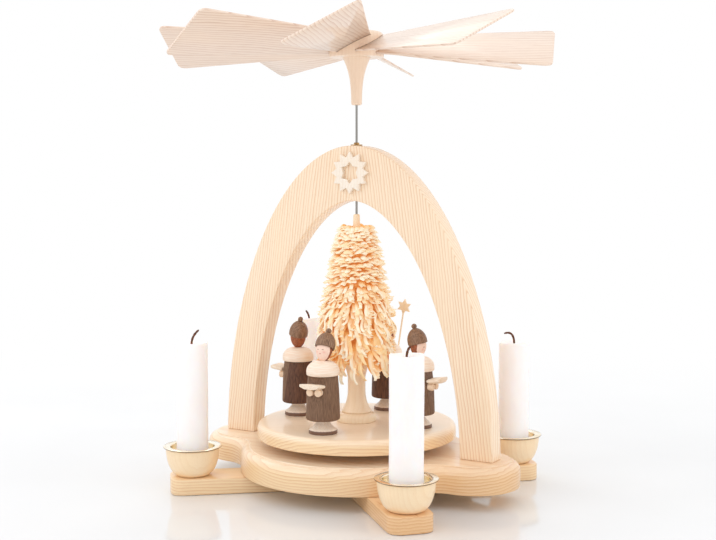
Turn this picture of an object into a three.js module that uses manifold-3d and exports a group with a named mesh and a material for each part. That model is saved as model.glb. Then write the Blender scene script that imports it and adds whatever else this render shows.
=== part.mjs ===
// A one-tier wooden candle pyramid. Lengths are millimetres, +Z is up, the spindle stands on the Z axis
// and the ground is z = 0. The board arch lies in the XZ plane and the front is -Y.
import * as THREE from "three";
import { mergeVertices } from "three/addons/utils/BufferGeometryUtils.js";
import Module from "manifold-3d";

const wasm = await Module();
wasm.setup();

// Clearances
const glue_gap = 0.3;
const pivot_clearance = 0.3;
const cut_overrun = 2;

// Foot cross: two bars that cross in a half lap
const foot_thickness = 11;
const foot_width = 30;
const foot_reach = 131;
const foot_corner_radius = 10;
const foot_angle_lower = 41;
const foot_angle_upper = 43.4;
const foot_screw_radius_place = 40;
const screw_shank_radius = 1.8;
const screw_head_radius = 3.6;
const screw_length = 22;
const screw_head_recess = 0.8;
const screw_head_rim = 0.6;
const screw_tip_length = 3;

// Base plate: a disc with a lobe under each leg of the arch
const base_thickness = 17.8;
const base_disc_radius = 82;
const base_lobe_radius = 32;
const base_lobe_place = 91;
const base_fillet_radius = 26;
const base_round_radius = 6;
const base_step = 1.2;

// Arch: a flat board whose outer and inner outlines are pointed ovals
const arch_thickness = 14;
const arch_outer_half_width = 108.6;
const arch_outer_height = 210;
const arch_outer_fullness = 1.98;
const arch_outer_point = 1.84;
const arch_inner_half_width = 84.6;
const arch_inner_height = 171.8;
const arch_inner_fullness = 1.86;
const arch_inner_point = 1.82;
const arch_dowel_radius = 2.5;
const arch_dowel_length = 18;

// Ring star glued on the front of the arch
const arch_star_drop = 18.8;
const arch_star_points = 12;
const arch_star_tip_radius = 14.8;
const arch_star_notch_radius = 10.8;
const arch_star_hole_points = 6;
const arch_star_hole_tip_radius = 7.6;
const arch_star_hole_notch_radius = 5.2;
const arch_star_thickness = 3;

// Spindle, its bush at the crown and its cup in the base plate
const spindle_radius = 0.8;
const spindle_point_length = 2.4;
const spindle_above_hub_floor = 12;
const bush_outer_radius = 2.2;
const bush_length = 9;
const bush_flange_radius = 4.2;
const bush_flange_thickness = 0.8;
const bush_collar_radius = 1.9;
const bush_collar_height = 1.3;
const cup_radius = 4.5;
const cup_height = 7;
const cup_pocket_radius = 2.6;
const cup_pocket_depth = 5;

// Candle places: turned bowls pegged into the foot bars, brass pans and candles
const bowl_from_foot_end = 15.6;
const bowl_radius = 17.9;
const bowl_height = 19.6;
const bowl_foot_radius = 9.4;
const bowl_swell = 1.6;
const bowl_wall = 1.8;
const bowl_floor = 3.4;
const bowl_peg_radius = 4;
const bowl_peg_length = 7;
const pan_rim_radius = 20.2;
const pan_thickness = 0.6;
const pan_wall_lean = 1.6;
const pan_depth = 7.6;
const pan_socket_wall = 0.8;
const pan_socket_height = 3.6;
const candle_radius = 11;
const candle_clearance = 0.35;
const candle_length_front_left = 80.6;
const candle_length_front_right = 85.4;
const candle_length_back_right = 75.2;
const candle_length_back_left = 82;
const candle_lean_back_left = 5;
const candle_lean_direction = 211;
const wick_radius = 0.75;
const wick_height = 6;
const wick_depth = 0.5;
const candle_pool_depth = 0.8;
const candle_rim_round = 0.7;

// Turntable
const turntable_gap = 6.4;
const turntable_radius = 70.3;
const turntable_thickness = 10;
const turntable_round_radius = 5;
const turntable_under_round = 1;
const carousel_turn = 3;

// Turned tree with shaved curls
const tree_rim_radius = 14.2;
const tree_rim_height = 6;
const tree_trunk_radius = 6.2;
const tree_curls_start = 27;
const tree_curls_end = 138;
const tree_height = 146;
const tree_tip_radius = 2.7;
const tree_bottom_radius = 27.6;
const tree_top_radius = 13.4;
const tree_tiers = 9;
const tree_tier_lobes = 9;
const tree_lobe_depth = 0.05;

// Rotor: hub with slanted slots and flat paddles
const rotor_above_arch = 28.6;
const hub_cone_bottom_radius = 3.7;
const hub_cone_length = 32;
const hub_cone_top_radius = 9.8;
const hub_disc_radius = 19;
const hub_disc_height = 19;
const hub_dome = 4;
const hub_nose_height = 0.8;
const paddle_count = 8;
const paddle_pitch = 26.3;
const paddle_thickness = 1.4;
const paddle_slot_clearance = 0.3;
const paddle_root_radius = 10.5;
const paddle_root_half_chord = 12.4;
const paddle_tip_radius = 135;
const paddle_tip_half_chord = 27.8;
const paddle_corner_radius = 6;
const paddle_offset = 18.7;
const paddle_below_disc_middle = 0.6;
const low_paddle_pitch = 29.8;
const low_paddle_droop = 1.9;

// Carol figures
const figure_circle_radius = 48;
const figure_rim_radius = 9.7;
const figure_rim_height = 2.4;
const figure_stem_radius = 4.6;
const figure_foot_height = 9.2;
const cape_bottom_radius = 11.6;
const cape_top_radius = 10.1;
const cape_bottom_round = 1.9;
const cape_height = 30;
const cape_front_place = 7.6;
const cape_front_slope = 9.6;
const collar_radius = 11.2;
const collar_height = 9.6;
const collar_edge = 2.6;
const neck_radius = 2.9;
const head_radius = 5.6;
const head_lower_height = 8.5;
const head_above_collar = 7.6;
const hat_radius = 6.8;
const hat_above_head = 0.9;
const hat_height = 11.2;
const hat_band = 2.2;
const hat_clearance = 0.4;
const hat_tilt = 14;
const front_head_tip = 14;
const pompom_radius = 1.9;
const hand_radius = 2.5;
const hand_spread = 3.1;
const hand_drop = 10.2;
const hand_reach = 10.8;
const book_width = 14.7;
const book_depth = 9.4;
const book_thickness = 1.4;
const book_spine_thickness = 3.3;
const book_flat_half = 3.4;
const book_grip = 0.4;
const book_fold = 22;
const book_tilt = 8;
const staff_radius = 0.6;
const staff_length = 48;
const staff_below_hands = 4;
const staff_lean = 9;
const staff_star_points = 6;
const staff_star_tip_radius = 6;
const staff_star_notch_radius = 3.2;
const staff_star_thickness = 1.6;

// Levels and places worked out from the sizes above
const base_bottom = foot_thickness;
const base_top = base_bottom + base_thickness;
const arch_crown = base_top + arch_outer_height;
const turntable_bottom = base_top + turntable_gap;
const turntable_top = turntable_bottom + turntable_thickness;
const hub_cone_bottom = arch_crown + rotor_above_arch;
const hub_disc_bottom = hub_cone_bottom + hub_cone_length;
const hub_disc_top = hub_disc_bottom + hub_disc_height;
const paddle_level = hub_disc_bottom + hub_disc_height / 2 - paddle_below_disc_middle;
const spindle_bore_radius = spindle_radius + pivot_clearance;
const cup_top = base_top - glue_gap;
const cup_bottom = cup_top - cup_height;
const spindle_bottom = cup_top - cup_pocket_depth + pivot_clearance;
const spindle_top = hub_disc_bottom + spindle_above_hub_floor;
const candle_circle_radius = foot_reach - bowl_from_foot_end;
const bowl_bottom = foot_thickness;
const bowl_top = bowl_bottom + bowl_height;
const pan_floor = bowl_top - pan_depth;
const arch_leg_place = (arch_outer_half_width + arch_inner_half_width) / 2;

const ash = { color: 0xe9cfa6, roughness: 0.62, metalness: 0 };
const maple = { color: 0xf0d9b4, roughness: 0.55, metalness: 0 };
const brass = { color: 0xd9bd72, roughness: 0.3, metalness: 1 };
const steel = { color: 0xb9b9b5, roughness: 0.35, metalness: 1 };
const wax = { color: 0xf7f3ea, roughness: 0.5, metalness: 0 };
const char = { color: 0x3a2a1c, roughness: 0.9, metalness: 0 };
const walnut = { color: 0x694c3b, roughness: 0.7, metalness: 0 };

function radians(degrees) {
  return THREE.MathUtils.degToRad(degrees);
}

// Faces with their shared corners merged and the flat slivers at a lathe's poles taken out
function cleaned(geometry) {
  const bare = geometry.clone();
  bare.deleteAttribute("normal");
  bare.deleteAttribute("uv");
  const merged = mergeVertices(bare, 1e-4);
  const corner = merged.index.array;
  const kept = [];
  for (let i = 0; i < corner.length; i += 3) {
    const [a, b, c] = [corner[i], corner[i + 1], corner[i + 2]];
    if (a !== b && b !== c && c !== a) {
      kept.push(a, b, c);
    }
  }
  merged.setIndex(kept);
  return merged;
}

function solid(geometry) {
  const clean = cleaned(geometry);
  const vertProperties = new Float32Array(clean.attributes.position.array);
  const triVerts = new Uint32Array(clean.index.array);
  return new wasm.Manifold(new wasm.Mesh({ numProp: 3, vertProperties, triVerts }));
}

function shell(manifold) {
  const mesh = manifold.getMesh();
  const geometry = new THREE.BufferGeometry();
  geometry.setAttribute("position", new THREE.BufferAttribute(mesh.vertProperties, 3));
  geometry.setIndex(new THREE.BufferAttribute(mesh.triVerts, 1));
  return geometry;
}

function cut(geometry, cutters) {
  return shell(cutters.reduce((body, cutter) => body.subtract(solid(cutter)), solid(geometry)));
}

function joined(geometries) {
  return shell(geometries.map(solid).reduce((body, more) => body.add(more)));
}

// A turned piece from a profile of [radius, height] pairs, bottom first
function turned(profile, segments) {
  const points = profile.map(([radius, height]) => new THREE.Vector2(radius, height));
  return cleaned(new THREE.LatheGeometry(points, segments).rotateX(Math.PI / 2));
}

function rod(radius, bottom, top, segments) {
  return turned([[0, bottom], [radius, bottom], [radius, top], [0, top]], segments);
}

// Points of a round edge in a profile, from the side wall up to the flat top
function round_edge(radius, top, round, steps) {
  const points = [];
  for (let i = 0; i <= steps; i += 1) {
    const angle = (Math.PI / 2) * (i / steps);
    points.push([radius - round + round * Math.cos(angle), top - round + round * Math.sin(angle)]);
  }
  return points;
}

function plate(shape, bottom, thickness, curve_segments) {
  const options = { depth: thickness, bevelEnabled: false, curveSegments: curve_segments };
  return new THREE.ExtrudeGeometry(shape, options).translate(0, 0, bottom);
}

// A closed body through rings of points that all have the same count
function lofted(rings) {
  const count = rings[0].length;
  const positions = rings.flat().flatMap((point) => [point.x, point.y, point.z]);
  const faces = [];
  for (let level = 0; level + 1 < rings.length; level += 1) {
    for (let i = 0; i < count; i += 1) {
      const next = (i + 1) % count;
      const [a, b] = [level * count + i, level * count + next];
      faces.push(a, b, b + count, a, b + count, a + count);
    }
  }
  const flat = rings[0].map((point) => new THREE.Vector2(point.x, point.y));
  const top = (rings.length - 1) * count;
  for (const [a, b, c] of THREE.ShapeUtils.triangulateShape(flat, [])) {
    faces.push(c, b, a);
    faces.push(top + a, top + b, top + c);
  }
  const geometry = new THREE.BufferGeometry();
  geometry.setAttribute("position", new THREE.Float32BufferAttribute(positions, 3));
  geometry.setIndex(faces);
  return geometry;
}

function star_shape(points, tip_radius, notch_radius) {
  const shape = new THREE.Shape();
  for (let i = 0; i < 2 * points; i += 1) {
    const radius = i % 2 === 0 ? tip_radius : notch_radius;
    const angle = Math.PI / 2 + (Math.PI * i) / points;
    const [x, y] = [radius * Math.cos(angle), radius * Math.sin(angle)];
    if (i === 0) {
      shape.moveTo(x, y);
    } else {
      shape.lineTo(x, y);
    }
  }
  shape.closePath();
  return shape;
}

const pyramid = new THREE.Group();

function add(group, name, geometry, finish) {
  const mesh = new THREE.Mesh(geometry, new THREE.MeshStandardMaterial(finish));
  mesh.name = name;
  group.add(mesh);
  return mesh;
}

function turned_group(parent, degrees) {
  const group = new THREE.Group();
  group.rotation.z = radians(degrees);
  parent.add(group);
  return group;
}

// Foot cross
function foot_bar_shape() {
  const [half_length, half_width] = [foot_reach, foot_width / 2];
  const shape = new THREE.Shape();
  const corners = [
    [half_length - foot_corner_radius, -half_width + foot_corner_radius, -90],
    [half_length - foot_corner_radius, half_width - foot_corner_radius, 0],
    [-half_length + foot_corner_radius, half_width - foot_corner_radius, 90],
    [-half_length + foot_corner_radius, -half_width + foot_corner_radius, 180],
  ];
  for (const [x, y, start] of corners) {
    shape.absarc(x, y, foot_corner_radius, radians(start), radians(start + 90), false);
  }
  return shape;
}

function lap_cutter(bottom, top, crossing_angle) {
  const width = foot_width + 2 * glue_gap;
  const cutter = new THREE.BoxGeometry(3 * foot_width, width, top - bottom);
  return cutter.translate(0, 0, (bottom + top) / 2).rotateZ(radians(crossing_angle));
}

function foot_bar(lap_bottom, lap_top, crossing_angle, screw_places) {
  const cutters = [lap_cutter(lap_bottom, lap_top, crossing_angle)];
  for (const side of [-1, 1]) {
    const hole_bottom = foot_thickness - bowl_peg_length - glue_gap;
    const hole = rod(bowl_peg_radius + glue_gap, hole_bottom, foot_thickness + cut_overrun, 16);
    cutters.push(hole.translate(side * candle_circle_radius, 0, 0));
  }
  for (const place of screw_places) {
    cutters.push(screw_body(glue_gap).translate(place, 0, 0));
  }
  return cut(plate(foot_bar_shape(), 0, foot_thickness, 4), cutters);
}

// A countersunk screw driven from below; grown by a clearance it is also the cutter of its hole
function screw_body(clearance) {
  const head_bottom = clearance > 0 ? -cut_overrun : screw_head_recess;
  const head_top = screw_head_recess + screw_head_rim + clearance;
  const head = screw_head_radius + clearance;
  const shank = screw_shank_radius + clearance;
  return turned([
    [0, head_bottom],
    [head, head_bottom],
    [head, head_top],
    [shank, head_top + head - shank],
    [shank, screw_length - screw_tip_length + clearance],
    [0, screw_length + clearance],
  ], 12);
}

const lower_bar = turned_group(pyramid, foot_angle_lower);
const upper_bar = turned_group(pyramid, -foot_angle_upper);
const lap_level = foot_thickness / 2;
const lap_top = foot_thickness + cut_overrun;
const crossing = foot_angle_lower + foot_angle_upper;
const screw_places = [-foot_screw_radius_place, foot_screw_radius_place];
add(lower_bar, "foot_bar_lower", foot_bar(lap_level - glue_gap / 2, lap_top, -crossing, []), ash);
const upper_lap = lap_level + glue_gap / 2;
add(upper_bar, "foot_bar_upper", foot_bar(-cut_overrun, upper_lap, crossing, screw_places), ash);
screw_places.forEach((place, i) => {
  add(upper_bar, `foot_screw_${i + 1}`, screw_body(0), steel).position.x = place;
});

// Base plate: the outline is arcs, so a smaller copy for the routed edge has the same centres
function base_outline(inset, level) {
  const disc = base_disc_radius - inset;
  const lobe = base_lobe_radius - inset;
  const fillet = base_fillet_radius + inset;
  const to_fillet = disc + fillet;
  const lobe_to_fillet = lobe + fillet;
  const along = (to_fillet ** 2 - lobe_to_fillet ** 2 + base_lobe_place ** 2) / (2 * base_lobe_place);
  const across = Math.sqrt(to_fillet ** 2 - along ** 2);
  const disc_angle = Math.atan2(across, along);
  const lobe_angle = Math.atan2(across, along - base_lobe_place);
  const points = [];
  function arc(x, y, radius, start, end, steps) {
    for (let i = 0; i < steps; i += 1) {
      const angle = start + ((end - start) * i) / steps;
      points.push(new THREE.Vector3(x + radius * Math.cos(angle), y + radius * Math.sin(angle), level));
    }
  }
  for (const [turn, side] of [[0, 1], [Math.PI, -1]]) {
    arc(side * base_lobe_place, 0, lobe, turn - lobe_angle, turn + lobe_angle, 11);
    arc(side * along, side * across, fillet, turn + lobe_angle - Math.PI, turn + disc_angle - Math.PI, 5);
    arc(0, 0, disc, turn + disc_angle, turn + Math.PI - disc_angle, 16);
    arc(-side * along, side * across, fillet, turn - disc_angle, turn - lobe_angle, 5);
  }
  return points;
}

function base_plate() {
  const rings = [base_outline(0, base_bottom)];
  for (const [radius, level] of round_edge(0, base_top - base_step, base_round_radius, 3)) {
    rings.push(base_outline(-radius, level));
  }
  rings.push(base_outline(base_round_radius, base_top));
  const cutters = [rod(cup_radius + glue_gap, cup_bottom - glue_gap, base_top + cut_overrun, 16)];
  for (const side of [-1, 1]) {
    cutters.push(dowel_body(glue_gap).translate(side * arch_leg_place, 0, 0));
    const hole = screw_body(glue_gap).translate(side * foot_screw_radius_place, 0, 0);
    cutters.push(hole.rotateZ(radians(-foot_angle_upper)));
  }
  return cut(lofted(rings), cutters);
}

function dowel_body(clearance) {
  const half = arch_dowel_length / 2 + clearance;
  return rod(arch_dowel_radius + clearance, base_top - half, base_top + half, 12);
}

add(pyramid, "base_plate", base_plate(), ash);
for (const [name, side] of [["left", -1], ["right", 1]]) {
  add(pyramid, `arch_dowel_${name}`, dowel_body(0), maple).position.x = side * arch_leg_place;
}

// Arch: half widths follow a superellipse from the foot up to the crown
function oval(half_width, height, fullness, point, steps) {
  const right = [];
  for (let i = 0; i < steps; i += 1) {
    const angle = (Math.PI / 2) * (i / steps);
    const x = half_width * Math.cos(angle) ** (2 / fullness);
    const z = height * Math.sin(angle) ** (2 / point);
    right.push([x, z]);
  }
  const left = right.map(([x, z]) => [-x, z]).reverse();
  return [...right, [0, height], ...left];
}

function arch() {
  const outer = oval(arch_outer_half_width, arch_outer_height, arch_outer_fullness, arch_outer_point, 20);
  const inner = oval(arch_inner_half_width, arch_inner_height, arch_inner_fullness, arch_inner_point, 18);
  const shape = new THREE.Shape([...outer, ...inner.reverse()].map(([x, z]) => new THREE.Vector2(x, z)));
  const board = plate(shape, -arch_thickness / 2, arch_thickness, 1);
  board.rotateX(Math.PI / 2).translate(0, 0, base_top);
  const bore_bottom = base_top + arch_inner_height - cut_overrun;
  const cutters = [rod(bush_outer_radius + glue_gap, bore_bottom, arch_crown + cut_overrun, 14)];
  for (const side of [-1, 1]) {
    cutters.push(dowel_body(glue_gap).translate(side * arch_leg_place, 0, 0));
  }
  return cut(board, cutters);
}

// The bush's flange lies on the crown, with a low collar above it
function top_bush() {
  const flange_top = arch_crown + bush_flange_thickness;
  const collar_rim = flange_top + bush_collar_height;
  return turned([
    [spindle_bore_radius, flange_top - bush_length],
    [bush_outer_radius, flange_top - bush_length],
    [bush_outer_radius, arch_crown],
    [bush_flange_radius, arch_crown],
    [bush_flange_radius, flange_top],
    [bush_collar_radius, flange_top],
    [bush_collar_radius, collar_rim],
    [spindle_bore_radius, collar_rim],
    [spindle_bore_radius, flange_top - bush_length],
  ], 20);
}

function arch_star() {
  const shape = star_shape(arch_star_points, arch_star_tip_radius, arch_star_notch_radius);
  const hole = star_shape(arch_star_hole_points, arch_star_hole_tip_radius, arch_star_hole_notch_radius);
  shape.holes.push(hole);
  const star = plate(shape, 0, arch_star_thickness, 1).rotateX(Math.PI / 2);
  return star.translate(0, -arch_thickness / 2, arch_crown - arch_star_drop);
}

function pivot_cup() {
  return turned([
    [0, cup_bottom],
    [cup_radius, cup_bottom],
    [cup_radius, cup_top],
    [cup_pocket_radius, cup_top],
    [cup_pocket_radius, cup_top - cup_pocket_depth + spindle_point_length],
    [0, cup_top - cup_pocket_depth],
  ], 16);
}

add(pyramid, "arch", arch(), ash);
add(pyramid, "top_bush", top_bush(), brass);
add(pyramid, "arch_star", arch_star(), maple);
add(pyramid, "pivot_cup", pivot_cup(), brass);

// Candle places
function candle_bowl() {
  const outer = [];
  const inner = [];
  const steps = 4;
  for (let i = 0; i <= steps; i += 1) {
    const angle = (Math.PI / 2) * (i / steps);
    const rise = bowl_bottom + bowl_height * (1 - Math.cos(angle));
    const swell = (bowl_radius - bowl_foot_radius) * Math.sin(angle) ** bowl_swell;
    outer.push([bowl_foot_radius + swell, rise]);
    const inner_rise = bowl_floor + (bowl_height - bowl_floor) * (1 - Math.cos(angle));
    const inner_radius = (bowl_radius - bowl_wall) * Math.sin(angle) ** (bowl_swell / 2);
    inner.push([inner_radius, bowl_bottom + inner_rise]);
  }
  const peg_bottom = bowl_bottom - bowl_peg_length;
  const peg = [[0, peg_bottom], [bowl_peg_radius, peg_bottom], [bowl_peg_radius, bowl_bottom]];
  return turned([...peg, ...outer, ...inner.reverse()], 20);
}

// A thin brass pan that hangs over the rim of the bowl, with a low ring that holds the candle
function drip_pan() {
  const under = bowl_top + glue_gap;
  const socket_inner = candle_radius + candle_clearance;
  const socket_outer = socket_inner + pan_socket_wall;
  const bowl_inner = bowl_radius - bowl_wall - glue_gap;
  const lower = pan_floor + pan_depth * 0.15;
  const upper = pan_floor + pan_depth * 0.5;
  return turned([
    [0, pan_floor - pan_thickness],
    [socket_outer, pan_floor - pan_thickness],
    [bowl_inner - pan_wall_lean, lower],
    [bowl_inner - pan_wall_lean / 4, upper],
    [bowl_inner, under],
    [pan_rim_radius, under],
    [pan_rim_radius, under + pan_thickness],
    [bowl_inner - pan_thickness, under + pan_thickness],
    [bowl_inner - pan_wall_lean / 4 - pan_thickness, upper],
    [bowl_inner - pan_wall_lean - pan_thickness, lower + pan_thickness],
    [socket_outer, pan_floor],
    [socket_outer, pan_floor + pan_socket_height],
    [socket_inner, pan_floor + pan_socket_height],
    [socket_inner, pan_floor],
    [0, pan_floor],
  ], 20);
}

function candle(length) {
  const bottom = pan_floor + glue_gap;
  const top = bottom + length;
  return turned([
    [0, bottom],
    [candle_radius - 0.4, bottom],
    [candle_radius, bottom + 0.4],
    [candle_radius, top - candle_rim_round],
    [candle_radius - candle_rim_round, top],
    [candle_radius * 0.3, top - candle_pool_depth * 0.6],
    [0, top - candle_pool_depth],
  ], 18);
}

// A charred wick that leans over at its tip
function wick(length, direction, lean) {
  const foot = pan_floor + glue_gap + length - wick_depth;
  const curve = new THREE.QuadraticBezierCurve3(
    new THREE.Vector3(0, 0, foot),
    new THREE.Vector3(0, 0, foot + wick_height * 0.6),
    new THREE.Vector3(lean * Math.cos(direction), lean * Math.sin(direction), foot + wick_height),
  );
  const section = new THREE.Shape();
  section.absarc(0, 0, wick_radius, 0, 2 * Math.PI, false);
  const options = { steps: 4, extrudePath: curve, curveSegments: 3, bevelEnabled: false };
  return new THREE.ExtrudeGeometry(section, options);
}

// Where a candle stands: tipped about the middle of its socket, and up on the edge it is tipped over
function tipped(lean, direction) {
  const pivot = pan_floor + pan_socket_height / 2;
  const axis = new THREE.Vector3(-Math.sin(direction), Math.cos(direction), 0);
  const turn = new THREE.Matrix4().makeRotationAxis(axis, lean);
  const up = new THREE.Matrix4().makeTranslation(0, 0, pivot + candle_radius * Math.sin(lean));
  return up.multiply(turn).multiply(new THREE.Matrix4().makeTranslation(0, 0, -pivot));
}

// Each place: name, direction from the middle, candle length, wick direction, wick lean, candle lean
const candle_places = [
  ["front_left", 180 + foot_angle_lower, candle_length_front_left, 20, 1.6, 0],
  ["front_right", -foot_angle_upper, candle_length_front_right, 20, 2.4, 0],
  ["back_right", foot_angle_lower, candle_length_back_right, 200, 2.4, 0],
  ["back_left", 180 - foot_angle_upper, candle_length_back_left, 200, 2.2, candle_lean_back_left],
];
for (const [name, direction, length, wick_direction, wick_lean, candle_lean] of candle_places) {
  const place = new THREE.Group();
  const x = candle_circle_radius * Math.cos(radians(direction));
  const y = candle_circle_radius * Math.sin(radians(direction));
  place.position.set(x, y, 0);
  pyramid.add(place);
  add(place, `candle_bowl_${name}`, candle_bowl(), maple);
  add(place, `drip_pan_${name}`, drip_pan(), brass);
  const stand = tipped(radians(candle_lean), radians(candle_lean_direction));
  add(place, `candle_${name}`, candle(length).applyMatrix4(stand), wax);
  const bent = wick(length, radians(wick_direction), wick_lean);
  add(place, `wick_${name}`, bent.applyMatrix4(stand), char);
}

// Everything from here on turns with the spindle
const carousel = turned_group(pyramid, carousel_turn);

function spindle() {
  return turned([
    [0, spindle_bottom],
    [spindle_radius, spindle_bottom + spindle_point_length],
    [spindle_radius, spindle_top],
    [0, spindle_top],
  ], 10);
}

function spindle_cutter(bottom, top) {
  return rod(spindle_bore_radius, bottom, top, 10);
}

function turntable() {
  const edge = round_edge(turntable_radius, turntable_top, turntable_round_radius, 3);
  const body = turned([
    [0, turntable_bottom],
    [turntable_radius - turntable_under_round, turntable_bottom],
    [turntable_radius, turntable_bottom + turntable_under_round],
    ...edge,
    [0, turntable_top],
  ], 40);
  return cut(body, [spindle_cutter(turntable_bottom - cut_overrun, turntable_top + cut_overrun)]);
}

// Radius of the mantle of curls at a height between the lowest and the highest curl
function mantle_radius(share) {
  const full = tree_top_radius + (tree_bottom_radius - tree_top_radius) * (1 - share ** 2.4) ** 0.9;
  return full + 1.2 * Math.sin(Math.PI * Math.min(1, share * 1.4));
}

// One ring of shavings: a shaggy skirt that is widest near its lower edge
function shaving_tier(index) {
  const pitch = (tree_curls_end - tree_curls_start) / tree_tiers;
  const bottom = turntable_top + tree_curls_start + index * pitch;
  const rows = [[0.93, 0], [1, 0.4], [0.9, 0.95], [0.5, 1.3]];
  const rings = rows.map(([width, rise]) => {
    const share = Math.min(1, (index + Math.min(rise, 1)) / tree_tiers);
    const level = Math.min(bottom + rise * pitch, turntable_top + tree_curls_end);
    const ring = [];
    for (let i = 0; i < 2 * tree_tier_lobes; i += 1) {
      const angle = (Math.PI * (i + index * 0.5)) / tree_tier_lobes;
      const lobe = i % 2 === 0 ? 1 : 1 - tree_lobe_depth;
      const radius = mantle_radius(share) * width * lobe;
      ring.push(new THREE.Vector3(radius * Math.cos(angle), radius * Math.sin(angle), level));
    }
    return ring;
  });
  return lofted(rings);
}

function shaving_tree() {
  const foot = turntable_top;
  const neck = foot + tree_curls_start - 6;
  const trunk = turned([
    [0, foot],
    [tree_rim_radius, foot],
    [tree_rim_radius, foot + tree_rim_height],
    [tree_rim_radius - 4, foot + tree_rim_height + 1.6],
    [tree_trunk_radius + 1.2, foot + tree_rim_height + 5],
    [tree_trunk_radius, neck],
    [tree_trunk_radius, foot + tree_curls_end - 20],
    [tree_tip_radius, foot + tree_curls_end - 4],
    [tree_tip_radius, foot + tree_height - 1.5],
    [tree_tip_radius - 0.8, foot + tree_height],
    [0, foot + tree_height],
  ], 16);
  const pieces = [trunk];
  for (let index = 0; index < tree_tiers; index += 1) {
    pieces.push(shaving_tier(index));
  }
  return cut(joined(pieces), [spindle_cutter(foot - cut_overrun, foot + tree_height + cut_overrun)]);
}

add(carousel, "spindle", spindle(), steel);
add(carousel, "turntable", turntable(), ash);
add(carousel, "shaving_tree", shaving_tree(), maple);

// Rotor
function paddle_shape(grow) {
  const slope = (paddle_tip_half_chord - paddle_root_half_chord) / (paddle_tip_radius - paddle_root_radius);
  const root = paddle_root_radius - grow;
  const root_half = paddle_root_half_chord + grow;
  const tip_half = paddle_tip_half_chord + grow;
  const round = paddle_corner_radius;
  const shape = new THREE.Shape();
  shape.moveTo(root, -root_half);
  shape.lineTo(paddle_tip_radius - round, -tip_half + slope * round);
  shape.quadraticCurveTo(paddle_tip_radius, -tip_half, paddle_tip_radius, -tip_half + round);
  shape.lineTo(paddle_tip_radius, tip_half - round);
  shape.quadraticCurveTo(paddle_tip_radius, tip_half, paddle_tip_radius - round, tip_half - slope * round);
  shape.lineTo(root, root_half);
  shape.closePath();
  return shape;
}

// How a paddle is set in its slot: the first is steeper than the rest, and its tip hangs a little
function paddle_set(index) {
  return index === 0 ? [low_paddle_pitch, low_paddle_droop] : [paddle_pitch, 0];
}

// The paddle's board, pitched about its own length and lifted to the middle of the hub
function paddle(index, grow) {
  const thickness = paddle_thickness + 2 * grow;
  const [pitch, droop] = paddle_set(index);
  const board = plate(paddle_shape(grow), -thickness / 2, thickness, 4);
  return board.rotateX(radians(pitch)).rotateY(radians(droop)).translate(0, 0, paddle_level);
}

function paddle_angle(index) {
  return paddle_offset + (360 * index) / paddle_count;
}

function rotor_hub() {
  const cone = [];
  const steps = 6;
  for (let i = 0; i <= steps; i += 1) {
    const share = i / steps;
    const flare = (hub_cone_top_radius - hub_cone_bottom_radius) * (0.9 * share ** 3 + 0.1 * share);
    cone.push([hub_cone_bottom_radius + flare, hub_cone_bottom + hub_cone_length * share]);
  }
  const body = turned([
    [0, hub_cone_bottom - hub_nose_height],
    [hub_cone_bottom_radius * 0.7, hub_cone_bottom - hub_nose_height],
    ...cone,
    [hub_disc_radius - hub_dome / 4, hub_disc_bottom],
    [hub_disc_radius, hub_disc_bottom + hub_dome / 4],
    [hub_disc_radius, hub_disc_top - hub_dome],
    [hub_disc_radius - hub_dome * 0.4, hub_disc_top - hub_dome * 0.45],
    [hub_disc_radius - hub_dome * 2, hub_disc_top - hub_dome * 0.15],
    [0, hub_disc_top],
  ], 24);
  const cutters = [spindle_cutter(hub_cone_bottom - 2 * cut_overrun, spindle_top + pivot_clearance)];
  for (let index = 0; index < paddle_count; index += 1) {
    cutters.push(paddle(index, paddle_slot_clearance).rotateZ(radians(paddle_angle(index))));
  }
  return cut(body, cutters);
}

add(carousel, "rotor_hub", rotor_hub(), maple);
for (let index = 0; index < paddle_count; index += 1) {
  const holder = turned_group(carousel, paddle_angle(index));
  add(holder, `paddle_${index + 1}`, paddle(index, 0), ash);
}

// Carol figures: each stands at the origin of its own group and looks along +X
const cape_bottom = figure_foot_height;
const cape_top = cape_bottom + cape_height;
const collar_bottom = cape_top + glue_gap;
const collar_top = collar_bottom + collar_height;
const head_level = collar_top + head_above_collar;
const hand_level = cape_top - hand_drop;
const hat_bottom = head_level + hat_above_head;
const staff_reach = collar_radius + glue_gap + staff_radius;

function figure_foot() {
  const flare = figure_rim_radius - figure_stem_radius;
  const rise = figure_foot_height - figure_rim_height;
  return turned([
    [0, 0],
    [figure_rim_radius, 0],
    [figure_rim_radius, figure_rim_height],
    [figure_stem_radius + flare * 0.8, figure_rim_height + rise * 0.13],
    [figure_stem_radius + flare * 0.4, figure_rim_height + rise * 0.35],
    [figure_stem_radius, figure_rim_height + rise * 0.75],
    [figure_stem_radius, figure_foot_height - glue_gap],
    [0, figure_foot_height - glue_gap],
  ], 16);
}

// Where the slanted flat front of a cape stands at a level
function cape_front(level) {
  return cape_front_place + (cape_top - level) * Math.tan(radians(cape_front_slope));
}

// The turned coat, with its flat front and the pockets that its hands are glued into
function figure_cape(reach) {
  const coat = turned([
    [0, cape_bottom],
    [cape_bottom_radius - cape_bottom_round, cape_bottom],
    [cape_bottom_radius, cape_bottom + cape_bottom_round],
    [(cape_bottom_radius + cape_top_radius) / 2 + 0.2, cape_bottom + cape_height * 0.6],
    [cape_top_radius, cape_top],
    [0, cape_top],
  ], 20);
  const size = 2 * cape_height;
  const front = new THREE.BoxGeometry(size, size, size).translate(size / 2, 0, 0);
  front.rotateY(radians(-cape_front_slope)).translate(cape_front_place, 0, cape_top);
  return cut(coat, [front, ...hands(reach, glue_gap)]);
}

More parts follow.
